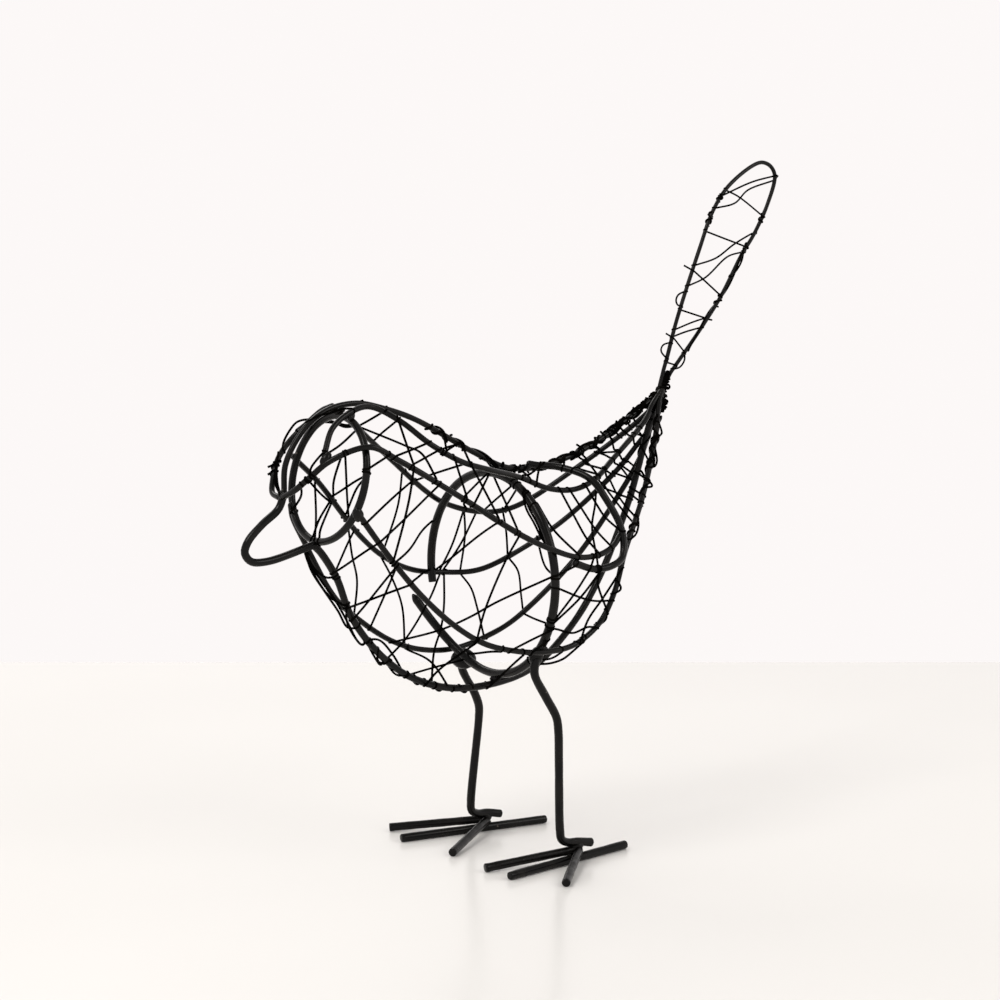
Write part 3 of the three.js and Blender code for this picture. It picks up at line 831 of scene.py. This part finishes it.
BODY_WINDINGS = (
    Winding("back@425,424", "back@451,438", 1.5, 0.25, 0.1),
    Winding("back@425,424", "back@449,437", -2, 0.2, 0.08),
    Winding("back@447,436", "back@516,471", 2.5, 0.15, 0.08),
    Winding("back@490,461", "back@520,472", -1.5, 0.2, 0.08),
    Winding("cheek@270,474", "cheek@272,459", 2, 0.05, 0.1),
    Winding("left_side@308,481", "left_side@315,475", 1.5, 0.1),
    Winding("left_lower@628,538", "left_lower@634,519", 2, 0.1, 0.15),
)
RUMP_WINDINGS = (
    Winding("back@514,470", "back@566,456", 3, 0.2, 0.08),
    Winding("back@518,470", "back@568,455", -2.5, 0.2, 0.08),
    Winding("back@528,467", "back@582,451", 2, 0.3, 0.05),
    Winding("back@560,457", "back@655,400", 5, 0.2, 0.08),
    Winding("back@566,455", "back@650,404", -4, 0.25, 0.08),
    Winding("back@574,451", "back@655,400", 3.2, 0.35, 0.06),
    Winding("back@590,443", "back@652,402", -2.7, 0.35, 0.06),
    Winding("back@603,435", "back@648,406", 3.6, 0.2, 0.1),
    Winding("left_lower@660,414", "left_lower@652,469", 2.6, 0.22, 0.06),
    Winding("left_lower@660,418", "left_lower@653,464", -2.2, 0.25, 0.06),
    Winding("left_lower@659,426", "left_lower@640,505", 3.3, 0.2, 0.06),
    Winding("belly@654,420", "belly@645,462", 1.7, 0.1, 0.05),
)
TAIL_WINDINGS = (
    Winding("tail@722,195", "tail@718,201", 2, 0.1, 0.1),
    Winding("tail@710,213", "tail@704,225", 1.6, 0.2, 0.08),
    Winding("tail@709,214", "tail@705,222", -1, 0.2, 0.08),
    Winding("tail@763,215", "tail@760,222", 2, 0.12, 0.1),
    Winding("tail@749,245", "tail@745,251", 1.5, 0.1, 0.1),
    Winding("tail@746,250", "tail@686,350", -1.5, 0.1),
    Winding("tail@722,294", "tail@715,306", 1.6, 0.25, 0.1),
)


def thread(route: Array, gauge: float, passes: int) -> Surface:
    """Thin wire along a route.

    Args:
        route: Samples of its centre line, in metres.
        gauge: Its diameter in millimetres.
        passes: How often the route is softened.

    Returns:
        A closed surface.
    """
    path = softened(even_steps(route, THREAD_STEP * MM), passes)
    return round_wire(path, gauge / 2 * MM, THREAD_SIDES, (End.CUT, End.CUT))


@dataclass
class Lacing:
    """Thin wire that runs from tie to tie, bending round the wire at each.

    Attributes:
        strands: The strands, as rows of ties.
        windings: The stretches where it is wound along a wire.
        wires: The wires that can be tied to, by name.
        camera: The camera whose pixels the ties are given in.
        rng: Where the unevenness of hand work comes from.
        gauge: The thin wire's diameter in millimetres.
        looped: Share of the ties where it goes once more round the wire.
        held: Least and most turns that a strand's end goes round its wire.
        bow: How far a strand bows out of straight, as a share of its length.
        tail: Longest free end past a tie, in millimetres.
        least_bend: Where a strand bends less than this, in radians, it passes on the outside of the bird.
        axis_height: Height of the middle of the body, in millimetres, which it goes round on the outside.
        arc_step: Turn from sample to sample round a wire, in radians.
        passes: How often the thin wire's route is softened.
    """

    strands: Sequence[str]
    windings: Sequence[Winding]
    wires: dict[str, Wire]
    camera: PhotoCamera
    rng: np.random.Generator
    gauge: float = THREAD
    looped: float = 0.1
    held: tuple[float, float] = (0.3, 0.55)
    bow: float = 0.004
    tail: float = 0.2
    least_bend: float = 0.35
    axis_height: float = 88.0
    arc_step: float = 0.3
    passes: int = 2

    def surface(self) -> Surface:
        """All the strands and windings.

        Returns:
            One surface of separate shells.
        """
        routes = [self._strand(strand) for strand in self.strands]
        routes += [self._wound(winding) for winding in self.windings]
        return Surface.joined(thread(route, self.gauge, self.passes) for route in routes)

    @staticmethod
    def _tie(text: str) -> tuple[str, Array]:
        """The wire's name, which is empty in the air, and the pixel that a tie is written as."""
        name, _, where = text.rpartition("@")
        return name, np.array([float(value) for value in where.split(",")])

    def _wound(self, winding: Winding) -> Array:
        """The thin wire's route where it is wound along a stretch of a wire.

        Args:
            winding: The winding.

        Returns:
            Samples of the route.
        """
        name, first = self._tie(winding.start)
        wire = self.wires[name]
        i, j = wire.nearest(self.camera, first), wire.nearest(self.camera, self._tie(winding.end)[1])
        stretch = wire.path[min(i, j):max(i, j) + 1]
        return coil(stretch, wire.radius + winding.lift * MM, winding.turns, self.rng, winding.wander)

    def _strand(self, text: str) -> Array:
        """The route of one strand: an arc round each tied wire, and spans through its bends in the air.

        Args:
            text: The strand, as a row of ties.

        Returns:
            Samples of the route.
        """
        places, around = self._places(text)
        route: list[Array] = []
        bends: list[Array] = []
        befores, afters = [None, *places[:-1]], [*places[1:], None]
        for place, wire, before, after in zip(places, around, befores, afters):
            if wire is None:
                bends.append(place)
                continue
            here = self._arc(place, wire, before, after)
            if route or bends:
                route.append(self._span([*(piece[-1] for piece in route[-1:]), *bends, here[0]]))
            route.append(here)
            bends = []
        if bends:
            route.append(self._span([route[-1][-1], *bends]))
        return np.vstack(route)

    def _places(self, text: str) -> tuple[list[Array], list[tuple[Wire, Array] | None]]:
        """Reads a strand.

        A tie sits where its wire passes nearest its pixel. A bend in the air lies at its pixel, at a depth
        between those of the ties before and after it.

        Args:
            text: The strand, as a row of ties.

        Returns:
            The place of each tie, and its wire with the wire's direction there, or None in the air.
        """
        ties = [self._tie(word) for word in text.split()]
        places: list[Array | None] = []
        around: list[tuple[Wire, Array] | None] = []
        for name, pixel in ties:
            wire = self.wires[name] if name else None
            nearest = wire.nearest(self.camera, pixel) if wire else 0
            places.append(wire.path[nearest] if wire else None)
            around.append((wire, wire.tangent[nearest]) if wire else None)
        tied = [i for i, place in enumerate(places) if place is not None]
        depths = np.interp(range(len(places)), tied, [self.camera.depth(places[i]) for i in tied])
        filled = [self.camera.point(pixel, depth) if place is None else place
                  for place, (_, pixel), depth in zip(places, ties, depths)]
        return filled, around

    def _arc(self, place: Array, around: tuple[Wire, Array], before: Array | None,
             after: Array | None) -> Array:
        """A helix round the wire that starts along the strand's way in and ends along its way out.

        Where the strand bends, the wire lies inside the bend. Where it hardly bends, it passes on the
        outside of the bird. At a strand's end it goes about half round, and the paint holds it there. The
        helix is as wide as the wire itself, so the thin wire is half sunk in the paint.

        Args:
            place: The tie's place on the wire's centre line.
            around: The wire and its direction there.
            before: The place that the strand comes from, or None at its start.
            after: The place that it goes to, or None at its end.

        Returns:
            Samples of the helix.
        """
        wire, along = around
        comes = place - before if before is not None else after - place
        goes = after - place if after is not None else comes
        u = unit(comes - along * (comes @ along))
        v = np.cross(along, u)
        bend = math.atan2(goes @ v, goes @ u)
        outward = place - np.array([0.0, place[1], self.axis_height * MM])
        turn = 1.0 if outward @ v < 0 else -1.0
        ends = before is None or after is None
        if not ends and abs(bend) > self.least_bend:
            turn = math.copysign(1.0, bend)
        extra = self.rng.uniform(*self.held) if ends else float(self.rng.random() < self.looped)
        sweep = turn * bend + 2 * math.pi * extra
        share = np.linspace(0, 1, max(ARC_SAMPLES, int(abs(sweep) / self.arc_step)))
        angle = turn * (sweep * (share - (before is None)) - math.pi / 2)
        advance = (share - 0.5) * self.gauge * MM * extra * self.rng.choice([-1.0, 1.0])
        ring = np.cos(angle)[:, None] * u + np.sin(angle)[:, None] * v
        arc = place + wire.radius * ring + advance[:, None] * along
        spare = self.rng.random() ** 2 * self.tail * MM
        if before is None:
            arc = np.vstack([arc[0] + unit(arc[0] - arc[1]) * spare, arc])
        if after is None:
            arc = np.vstack([arc, arc[-1] + unit(arc[-1] - arc[-2]) * spare])
        return arc

    def _span(self, points: Sequence[Array]) -> Array:
        """The stretch between two ties: a smooth curve through the bends, or straight with a slight bow.

        The bow is half a wave of a sine and, half as high, a whole wave.

        Args:
            points: The two ends, with the bends between them.

        Returns:
            Samples of the stretch.
        """
        if len(points) > 2:
            return smooth_curve(np.array(points))
        start, end = points
        reach = float(np.linalg.norm(end - start))
        share = np.linspace(0, 1, max(SPAN_SAMPLES, int(reach / (THREAD_STEP * MM))))[:, None]
        bows = self.rng.normal(0, self.bow * reach, (2, 3))
        waves = bows[0] * np.sin(np.pi * share) + bows[1] / 2 * np.sin(2 * np.pi * share)
        return start + (end - start) * share + waves


# A coil's samples on each turn, how often its unevenness is softened, and how far that shifts it, in turns
TURN_SAMPLES = 22
COIL_PASSES = 8
COIL_SHIFT = 0.25


def coil(path: Array, radius: Array | float, turns: float, rng: np.random.Generator,
         wander: float) -> Array:
    """Thin wire wound along a path.

    The winding is a helix that stands off by the radius and a slow lump, and its advance wanders a little.

    Args:
        path: The path that it is wound along, in metres.
        radius: Distance from the path to the thin wire's middle, in metres.
        turns: Number of turns, less than 0 for the other sense.
        rng: Where the unevenness comes from.
        wander: How uneven the lumps are, as a share of the radius.

    Returns:
        Samples of the thin wire's centre line.
    """
    whole = math.ceil(abs(turns))
    share = np.linspace(0, 1, whole * TURN_SAMPLES)
    slow = np.interp(share, np.linspace(0, 1, whole + 2), rng.normal(0, 1, whole + 2))
    shift = softened(slow[:, None], COIL_PASSES)[:, 0]
    advance = np.clip(share + COIL_SHIFT * shift / whole, 0, 1)
    _, normal, binormal = carried_frames(path)
    places = advance * (len(path) - 1)
    index = np.arange(len(path))
    centre, n, b = (np.stack([np.interp(places, index, a[:, k]) for k in range(3)], 1)
                    for a in (path, normal, binormal))
    angle = 2 * np.pi * turns * share
    stand = np.interp(places, index, np.broadcast_to(radius, len(path))) * (1 + wander * np.abs(shift))
    return centre + stand[:, None] * (np.cos(angle)[:, None] * n + np.sin(angle)[:, None] * b)


# A blob's rings and the sides of each
LUMP_RINGS = 12
LUMP_SIDES = 20

# Heights of the waves in its surface, as shares of its radius: one that twists as it goes twice round, one
# that goes three times round, and a ripple from end to end
LUMP_WAVES = (0.09, 0.06, 0.05)


def lump(centre: Array, half: Array, axis: Array, rng: np.random.Generator) -> Surface:
    """A blob of weld: an ellipsoid whose radius swells and sinks by a few low waves.

    Args:
        centre: Its middle, in metres.
        half: Half its length along the axis, and half its width.
        axis: The direction that it is longest in.
        rng: Where its unevenness comes from.

    Returns:
        A closed surface.
    """
    along = unit(axis)
    u = unit(np.cross(along, np.eye(3)[np.abs(along).argmin()]))
    v = np.cross(along, u)
    polar = np.linspace(0, np.pi, LUMP_RINGS + 2)[1:-1, None]
    angle = np.linspace(0, 2 * np.pi, LUMP_SIDES, endpoint=False)[None]
    phase = rng.uniform(0, 2 * np.pi, 4)
    twist, lobes, ripple = LUMP_WAVES
    swell = 1 + twist * np.sin(2 * angle + phase[0] + 2 * polar) + lobes * np.sin(3 * angle + phase[1])
    swell = swell + ripple * np.sin(5 * polar + phase[2]) * np.sin(angle + phase[3])
    width = half[1] * np.sin(polar) * swell
    length = half[0] * np.cos(polar) * np.ones_like(angle)
    rings = (centre - length[..., None] * along + (width * np.cos(angle))[..., None] * u
             + (width * np.sin(angle))[..., None] * v)
    return closed_grid(rings, centre - half[0] * along, centre + half[0] * along)


class Value:
    """A number in a material's nodes, with arithmetic that adds Math nodes."""

    def __init__(self, maker: "Nodes", socket: bpy.types.NodeSocket) -> None:
        """Wraps a socket of the maker's tree."""
        self.maker = maker
        self.socket = socket

    def _math(self, operation: str, *values: "Value | float") -> "Value":
        """A Math node of the given operation."""
        return self.maker.node("ShaderNodeMath", {"operation": operation}, dict(enumerate(values)))

    def __add__(self, other: "Value | float") -> "Value":
        """Sum."""
        return self._math("ADD", self, other)

    __radd__ = __add__

    def __mul__(self, other: "Value | float") -> "Value":
        """Product."""
        return self._math("MULTIPLY", self, other)

    __rmul__ = __mul__

    def __sub__(self, other: "Value | float") -> "Value":
        """Difference."""
        return self._math("SUBTRACT", self, other)

    def __rsub__(self, other: "Value | float") -> "Value":
        """Difference from a plain number."""
        return self._math("SUBTRACT", other, self)

    def ramp(self, low: float, high: float) -> "Value":
        """0 below low and 1 above high, smooth between."""
        return self.maker.node("ShaderNodeMapRange", {"interpolation_type": "SMOOTHSTEP"}, {
            "Value": self, "From Min": low, "From Max": high})


class Nodes:
    """Builds a node tree, of a material or of the surroundings."""

    def __init__(self, owner: bpy.types.Material | bpy.types.World) -> None:
        """Empties the owner's tree and starts on it.

        Args:
            owner: The material or the surroundings.
        """
        owner.use_nodes = True
        self.tree = owner.node_tree
        self.tree.nodes.clear()

    def node(self, kind: str, settings: dict[str, object], inputs: dict[str | int, object],
             output: int | str = 0) -> Value:
        """Adds one node.

        Args:
            kind: The node's type.
            settings: Its own settings, which are made first.
            inputs: Values or links of its sockets, by name or number.
            output: The output socket that is wanted.

        Returns:
            That output.
        """
        made = self.tree.nodes.new(kind)
        for name, value in settings.items():
            setattr(made, name, value)
        for name, value in inputs.items():
            if isinstance(value, Value):
                self.tree.links.new(value.socket, made.inputs[name])
            else:
                made.inputs[name].default_value = value
        return Value(self, made.outputs[output])

    def noise(self, size: float, detail: float = 2.0, offset: float = 0.0) -> Value:
        """Noise on Object coordinates.

        Args:
            size: About how large its blots are, in metres.
            detail: How many finer layers it has.
            offset: How far it is shifted, which makes one noise unlike another.

        Returns:
            The noise, from 0 to 1.
        """
        place = self.node("ShaderNodeTexCoord", {}, {}, "Object")
        moved = self.node("ShaderNodeMapping", {}, {"Vector": place, "Location": (offset, offset, offset)})
        return self.node("ShaderNodeTexNoise", {}, {"Vector": moved, "Scale": 1 / size, "Detail": detail})

    def colour(self, low: "Value | Sequence[float]", high: Sequence[float], mask: Value) -> Value:
        """A colour mixed by a mask. A Mix node's colours are its sockets 6 and 7, and its output 2.

        Args:
            low: The colour where the mask is 0.
            high: The colour where it is 1.
            mask: The mask.

        Returns:
            The mixed colour.
        """
        first = low if isinstance(low, Value) else (*low, 1.0)
        colours = {"Factor": mask, 6: first, 7: (*high, 1.0)}
        return self.node("ShaderNodeMix", {"data_type": "RGBA"}, colours, 2)

    def output(self, kind: str, surface: Value) -> None:
        """Adds the output node of the given type and links the surface to it."""
        end = self.tree.nodes.new(kind)
        self.tree.links.new(surface.socket, end.inputs["Surface"])


@dataclass(frozen=True)
class BlackPaint:
    """Satin black paint over iron.

    Attributes:
        name: The material's name.
        paint: The paint's colour.
        dust: Its colour where it is dusty or rubbed.
        chip: The colour of the few bare specks.
        roughness: Least and most roughness.
        specular: Strength of the gloss, where 0.5 is plain glass.
        relief: Height of the brush marks and grain, in metres.
        bump: How strongly that relief shows.
        blots: Size of the blots of dust, in metres.
        specks: Size of the bare specks.
        marks: Size of the brush marks.
        grain: Size of the grain.
        dusty: Where in the noise the dust starts and is full.
        bare: Where in the noise a speck starts and is full.
        dulled: Share of the roughness that follows the dust. The rest follows the grain.
        brushed: Share of the relief that is brush marks. The rest is grain.
    """

    name: str
    paint: Point = (0.002, 0.0018, 0.0016)
    dust: Point = (0.0065, 0.0056, 0.0047)
    chip: Point = (0.07, 0.06, 0.05)
    roughness: tuple[float, float] = (0.2, 0.36)
    specular: float = 0.16
    relief: float = 0.00006
    bump: float = 0.6
    blots: float = 0.006
    specks: float = 0.0011
    marks: float = 0.0024
    grain: float = 0.0006
    dusty: tuple[float, float] = (0.42, 0.72)
    bare: tuple[float, float] = (0.78, 0.81)
    dulled: float = 0.65
    brushed: float = 0.7

    def build(self) -> bpy.types.Material:
        """Makes the material: blots of dust, bare specks, uneven gloss, and a bump of brush marks and grain.

        Returns:
            The material.
        """
        material = bpy.data.materials.new(self.name)
        nodes = Nodes(material)
        grain = nodes.noise(self.grain, detail=3.0, offset=0.3)
        worn = nodes.noise(self.blots, detail=3.0).ramp(*self.dusty)
        chips = nodes.noise(self.specks, detail=1.0, offset=0.7).ramp(*self.bare)
        colour = nodes.colour(nodes.colour(self.paint, self.dust, worn), self.chip, chips)
        low, high = self.roughness
        rough = low + (high - low) * (self.dulled * worn + (1 - self.dulled) * grain)
        brush = nodes.noise(self.marks, detail=2.0, offset=0.1)
        height = self.brushed * brush + (1 - self.brushed) * grain
        normal = nodes.node("ShaderNodeBump", {}, {
            "Strength": self.bump, "Distance": self.relief, "Height": height})
        shader = nodes.node("ShaderNodeBsdfPrincipled", {}, {
            "Base Color": colour, "Roughness": rough, "Normal": normal, "Specular IOR Level": self.specular})
        nodes.output("ShaderNodeOutputMaterial", shader)
        return material


@dataclass
class Bird:
    """The whole bird: its wires, welds, bindings and feet.

    Attributes:
        camera: The photograph's camera, whose pixels place the ties.
        rng: Where the unevenness of hand work comes from.
        wires: The wires, by the names that the strands use.
    """

    camera: PhotoCamera
    rng: np.random.Generator
    wires: dict[str, Wire] = field(default_factory=dict)

    def bend_wires(self) -> None:
        """Shapes every wire of the bird."""
        body = (
            ("back", BACK, LIGHT), ("belly", BELLY, MEDIUM), ("left_upper", LEFT_UPPER, LIGHT),
            ("left_side", LEFT_SIDE, LIGHT), ("left_lower", LEFT_LOWER, LIGHT),
            ("right_upper", RIGHT_UPPER, LIGHT), ("right_side", RIGHT_SIDE, LIGHT),
            ("right_lower", RIGHT_LOWER, LIGHT),
        )
        self.wires = {name: bent(f"{name}_wire", route, gauge) for name, route, gauge in body}
        self.wires |= {
            "wing": bent("left_wing_wire", LEFT_WING, MEDIUM),
            "cheek": bent("right_cheek_wire", RIGHT_CHEEK, LIGHT),
            "body_ring": Wire("body_ring", BODY_RING.path(), HEAVY, Slot.ROD, (End.CUT, End.SNIPPED)),
            "head_ring": Wire("head_ring", HEAD_RING.path(), MEDIUM),
            "beak": bent("beak_wire", BEAK, BEAK_GAUGE, Slot.ROD),
            "tail": bent("tail_loop", TAIL_LOOP, TAIL_GAUGE),
            "left_leg": bent("left_leg", LEFT_LEG, HEAVY, Slot.ROD, cut=True),
            "right_leg": bent("right_leg", RIGHT_LEG, HEAVY, Slot.ROD, cut=True),
        }
        for foot in (LEFT_FOOT, RIGHT_FOOT):
            self.wires[f"{foot.side}_middle_toe"] = foot.middle_toe()
            self.wires[f"{foot.side}_side_toes"] = foot.side_toes()


# Pairs of wires that are welded where they pass nearest each other, with the size of the blob as a share of
# the usual one
WELDS = (
    ("beak", "back", 1.0), ("beak", "cheek", 1.0), ("beak", "left_side", 1.0), ("beak", "head_ring", 1.1),
    ("beak", "belly", 1.2), ("head_ring", "left_lower", 1.7), ("head_ring", "right_lower", 1.0),
    ("head_ring", "right_side", 1.0), ("head_ring", "back", 1.0), ("head_ring", "left_upper", 1.0),
    ("cheek", "back", 1.0), ("left_side", "left_lower", 1.0), ("wing", "left_lower", 1.0),
    ("wing", "back", 1.0), ("body_ring", "back", 1.0), ("body_ring", "left_lower", 1.0),
    ("body_ring", "belly", 0.7), ("body_ring", "left_leg", 1.6), ("left_upper", "left_side", 1.0),
    ("left_leg", "left_side_toes", 1.0), ("left_side_toes", "left_middle_toe", 1.0),
    ("right_leg", "right_side_toes", 1.0), ("right_side_toes", "right_middle_toe", 1.0),
)

# The weld of the right leg to the ring: the pixel of its middle, and half its length and width in
# millimetres
RIGHT_LEG_WELD = (463.5, 659.0)
RIGHT_LEG_WELD_HALF = (3.7, 2.8)

# Wires further apart than this, in millimetres, have nothing between them
WELD_REACH = 1.0

# Half the length and half the width of the usual blob, as shares of the thinner wire's radius
WELD_LONG = 1.5
WELD_WIDE = 1.02


def weld(a: Wire, b: Wire, size: float, rng: np.random.Generator) -> Surface | None:
    """A weld where two wires pass nearest each other.

    Args:
        a: One wire.
        b: The other.
        size: The blob's size as a share of the usual one.
        rng: Where its unevenness comes from.

    Returns:
        A blob that reaches into both, or None where they are too far apart.
    """
    apart = np.linalg.norm(a.path[:, None] - b.path[None], axis=2)
    i, j = np.unravel_index(apart.argmin(), apart.shape)
    gap = max(0.0, float(apart[i, j]) - a.radius - b.radius)
    log.info("weld %s to %s: gap %.2f mm", a.node, b.node, gap / MM)
    if gap > WELD_REACH * MM:
        return None
    centre = (a.path[i] * b.radius + b.path[j] * a.radius) / (a.radius + b.radius)
    long_way = unit(a.tangent[i] + b.tangent[j] * np.sign(a.tangent[i] @ b.tangent[j]))
    narrow = min(a.radius, b.radius) * size
    half = np.array([narrow * WELD_LONG + gap, narrow * WELD_WIDE + gap / 2])
    return lump(centre, half, long_way, rng)


@dataclass(frozen=True)
class Lamp:
    """A square soft light that faces the bird.

    Attributes:
        name: Its name.
        place: Where it hangs, in metres.
        size: Its side in metres.
        power: Its power in watts.
        colour: The colour of its light.
        aim: The height over the middle of the table that it faces, in metres.
    """

    name: str
    place: Point
    size: float
    power: float
    colour: Point = (1.0, 0.98, 0.95)
    aim: float = 0.08

    def build(self) -> None:
        """Makes the light and turns it to the bird."""
        data = bpy.data.lights.new(self.name, "AREA")
        data.shape, data.size, data.energy = "SQUARE", self.size, self.power
        data.color = self.colour
        lamp = bpy.data.objects.new(self.name, data)
        lamp.location = self.place
        down = -unit(np.array(self.place) - np.array([0, 0, self.aim]))
        yaw = math.atan2(down[1], down[0]) - math.pi / 2
        lamp.rotation_euler = (math.pi / 2 + math.asin(down[2]), 0, yaw)
        bpy.context.scene.collection.objects.link(lamp)


@dataclass(frozen=True)
class Studio:
    """A pale table with soft light all round.

    Attributes:
        half: Half the table's side in metres.
        lacquer: The table's colour in its darker and its lighter clouds.
        clouds: Size of those clouds, in metres.
        cloudy: Where in the noise a cloud starts and is full.
        roughness: Roughness of the lacquer.
        specular: Strength of its gloss.
        light: Colour of the light from below and all round.
        overhead: Colour of the light from overhead.
        rise: Height of a direction where overhead starts and is full.
        lamps: The lights.
    """

    half: float = 0.267
    lacquer: tuple[Point, Point] = ((0.855, 0.84, 0.816), (0.875, 0.86, 0.836))
    clouds: float = 0.15
    cloudy: tuple[float, float] = (0.3, 0.7)
    roughness: float = 0.22
    specular: float = 0.4
    light: Point = (0.975, 0.94, 0.932)
    overhead: Point = (0.55, 0.535, 0.525)
    rise: tuple[float, float] = (0.3, 0.6)
    lamps: tuple[Lamp, ...] = (
        Lamp("key", (0.1, -0.75, 1.0), size=0.4, power=5.0),
        Lamp("fill", (-0.8, 0.1, 0.8), size=0.5, power=2.7),
        Lamp("side", (0.9, 0.5, 0.8), size=0.5, power=3.4),
    )

    def build(self, camera: PhotoCamera) -> None:
        """Makes the table, the lights and the white surroundings.

        Args:
            camera: The camera, which the table stands square to.
        """
        right, _, into = camera.axes
        level = unit(np.array([into[0], into[1], 0.0]))
        steps = ((-1, -1), (1, -1), (1, 1), (-1, 1))
        corners = np.array([self.half * (a * right + b * level) for a, b in steps])
        mesh = bpy.data.meshes.new("table")
        mesh.from_pydata(corners.tolist(), [], [(0, 1, 2, 3)])
        table = bpy.data.objects.new("table", mesh)
        bpy.context.scene.collection.objects.link(table)
        table.data.materials.append(self._table_material())
        for lamp in self.lamps:
            lamp.build()
        self._surroundings()

    def _table_material(self) -> bpy.types.Material:
        """White lacquer with a dull gloss.

        Returns:
            The material.
        """
        material = bpy.data.materials.new("white_lacquer")
        nodes = Nodes(material)
        cloud = nodes.noise(self.clouds, detail=1.0).ramp(*self.cloudy)
        colour = nodes.colour(*self.lacquer, cloud)
        shader = nodes.node("ShaderNodeBsdfPrincipled", {}, {
            "Base Color": colour, "Roughness": self.roughness, "Specular IOR Level": self.specular})
        nodes.output("ShaderNodeOutputMaterial", shader)
        return material

    def _surroundings(self) -> None:
        """Warm white below and all round, and a darker room overhead."""
        world = bpy.data.worlds.new("surroundings")
        nodes = Nodes(world)
        direction = nodes.node("ShaderNodeTexCoord", {}, {}, "Generated")
        height = nodes.node("ShaderNodeSeparateXYZ", {}, {"Vector": direction}, "Z")
        colour = nodes.colour(self.light, self.overhead, height.ramp(*self.rise))
        glow = nodes.node("ShaderNodeBackground", {}, {"Color": colour, "Strength": 1.0})
        nodes.output("ShaderNodeOutputWorld", glow)
        bpy.context.scene.world = world
        bpy.context.scene.view_settings.view_transform = "Standard"


# The lengths of thin wire in the frame that the body's binding stands for
LACED_NODES = tuple(f"{place}_lacing" for place in (
    "body", "hip", "back", "nape", "shoulder", "throat", "breast", "collar", "crown", "chest", "flank",
    "belly", "crop", "thigh", "side",
))


@dataclass
class Workshop:
    """Makes the bird's pieces and hands each over to the frame.

    Attributes:
        bird: The bird's wires.
        paints: The finish of each slot.
    """

    bird: Bird
    paints: dict[Slot, bpy.types.Material]

    def hand_over(self, surface: Surface, name: str, slot: Slot, *stands_for: str) -> None:
        """Makes one piece, which rides on the bird's only body.

        Args:
            surface: Its surface.
            name: Its name.
            slot: The slot of its finish.
            stands_for: The nodes of the frame that it is shown in place of.
        """
        piece = surface.to_object(name)
        piece.data.materials.append(self.paints[slot])
        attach(piece, BODY)
        if stands_for:
            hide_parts(*stands_for)
        log.info("%s: %d triangles", name, 2 * len(surface.quads) + len(surface.triangles))

    def round_wires(self) -> None:
        """Every bent wire as a round one."""
        for wire in self.bird.wires.values():
            self.hand_over(wire.surface(self.bird.rng), f"{wire.node}_round", wire.slot, wire.node)

    def welds(self) -> None:
        """The blobs of weld where wires meet."""
        wires, camera, rng = self.bird.wires, self.bird.camera, self.bird.rng
        blobs = [weld(wires[a], wires[b], size, rng) for a, b, size in WELDS]
        middle = camera.point(RIGHT_LEG_WELD, camera.depth(wires["right_leg"].path[0]))
        blobs.append(lump(middle, np.array(RIGHT_LEG_WELD_HALF) * MM, camera.axes[0], rng))
        self.hand_over(Surface.joined(blob for blob in blobs if blob), "welds", Slot.ROD)

    def lacing(self) -> None:
        """The thin wire laced over the body, the rump and the tail."""
        bird = self.bird
        for name, strands, windings, gauge, nodes in (
            ("body_binding", HEAD_STRANDS + NECK_STRANDS + MIDDLE_STRANDS + BELLY_STRANDS, BODY_WINDINGS,
             THREAD, LACED_NODES),
            ("rump_binding", RUMP_STRANDS, RUMP_WINDINGS, THREAD, ("rump_lacing",)),
            ("tail_crossings", TAIL_STRANDS, TAIL_WINDINGS, TAIL_THREAD, ("tail_lacing",)),
        ):
            lacing = Lacing(strands, windings, bird.wires, bird.camera, bird.rng, gauge)
            self.hand_over(lacing.surface(), name, Slot.BINDING, *nodes)

    def tail_root(self) -> None:
        """The tight winding over the wires' ends at the root of the tail."""
        rng = self.bird.rng
        root = even_steps(smooth_curve(np.array(TAIL_ROOT) * MM), WIRE_STEP * MM / 2)
        width = np.interp(np.linspace(0, 1, len(root)), *zip(*TAIL_ROOT_WIDTHS)) * MM
        coils = [coil(root[::way], width[::way] * share, turns, rng, wander)
                 for way, turns, share, wander in TAIL_ROOT_COILS]
        shells = [thread(route, THREAD, passes=1) for route in coils]
        core = round_wire(root, width * TAIL_ROOT_CORE, WIRE_SIDES, (End.MELTED, End.MELTED))
        self.hand_over(Surface.joined([core, *shells]), "tail_root_binding", Slot.BINDING, "tail_binding")


def main() -> None:
    """Builds the studio and the bird."""
    logging.basicConfig(level=logging.INFO, format="%(name)s: %(message)s")
    camera = PhotoCamera()
    camera.build()
    Studio().build(camera)
    bird = Bird(camera, np.random.default_rng(SEED))
    bird.bend_wires()
    paints = {
        Slot.ROD: BlackPaint("painted_rod").build(),
        Slot.FRAME: BlackPaint("painted_frame_wire").build(),
        Slot.BINDING: BlackPaint("painted_binding_wire", dust=(0.005, 0.0043, 0.0036), specular=0.0,
                                 relief=0.00003).build(),
    }
    workshop = Workshop(bird, paints)
    workshop.round_wires()
    workshop.welds()
    workshop.lacing()
    workshop.tail_root()


if __name__ == "__main__":
    main()
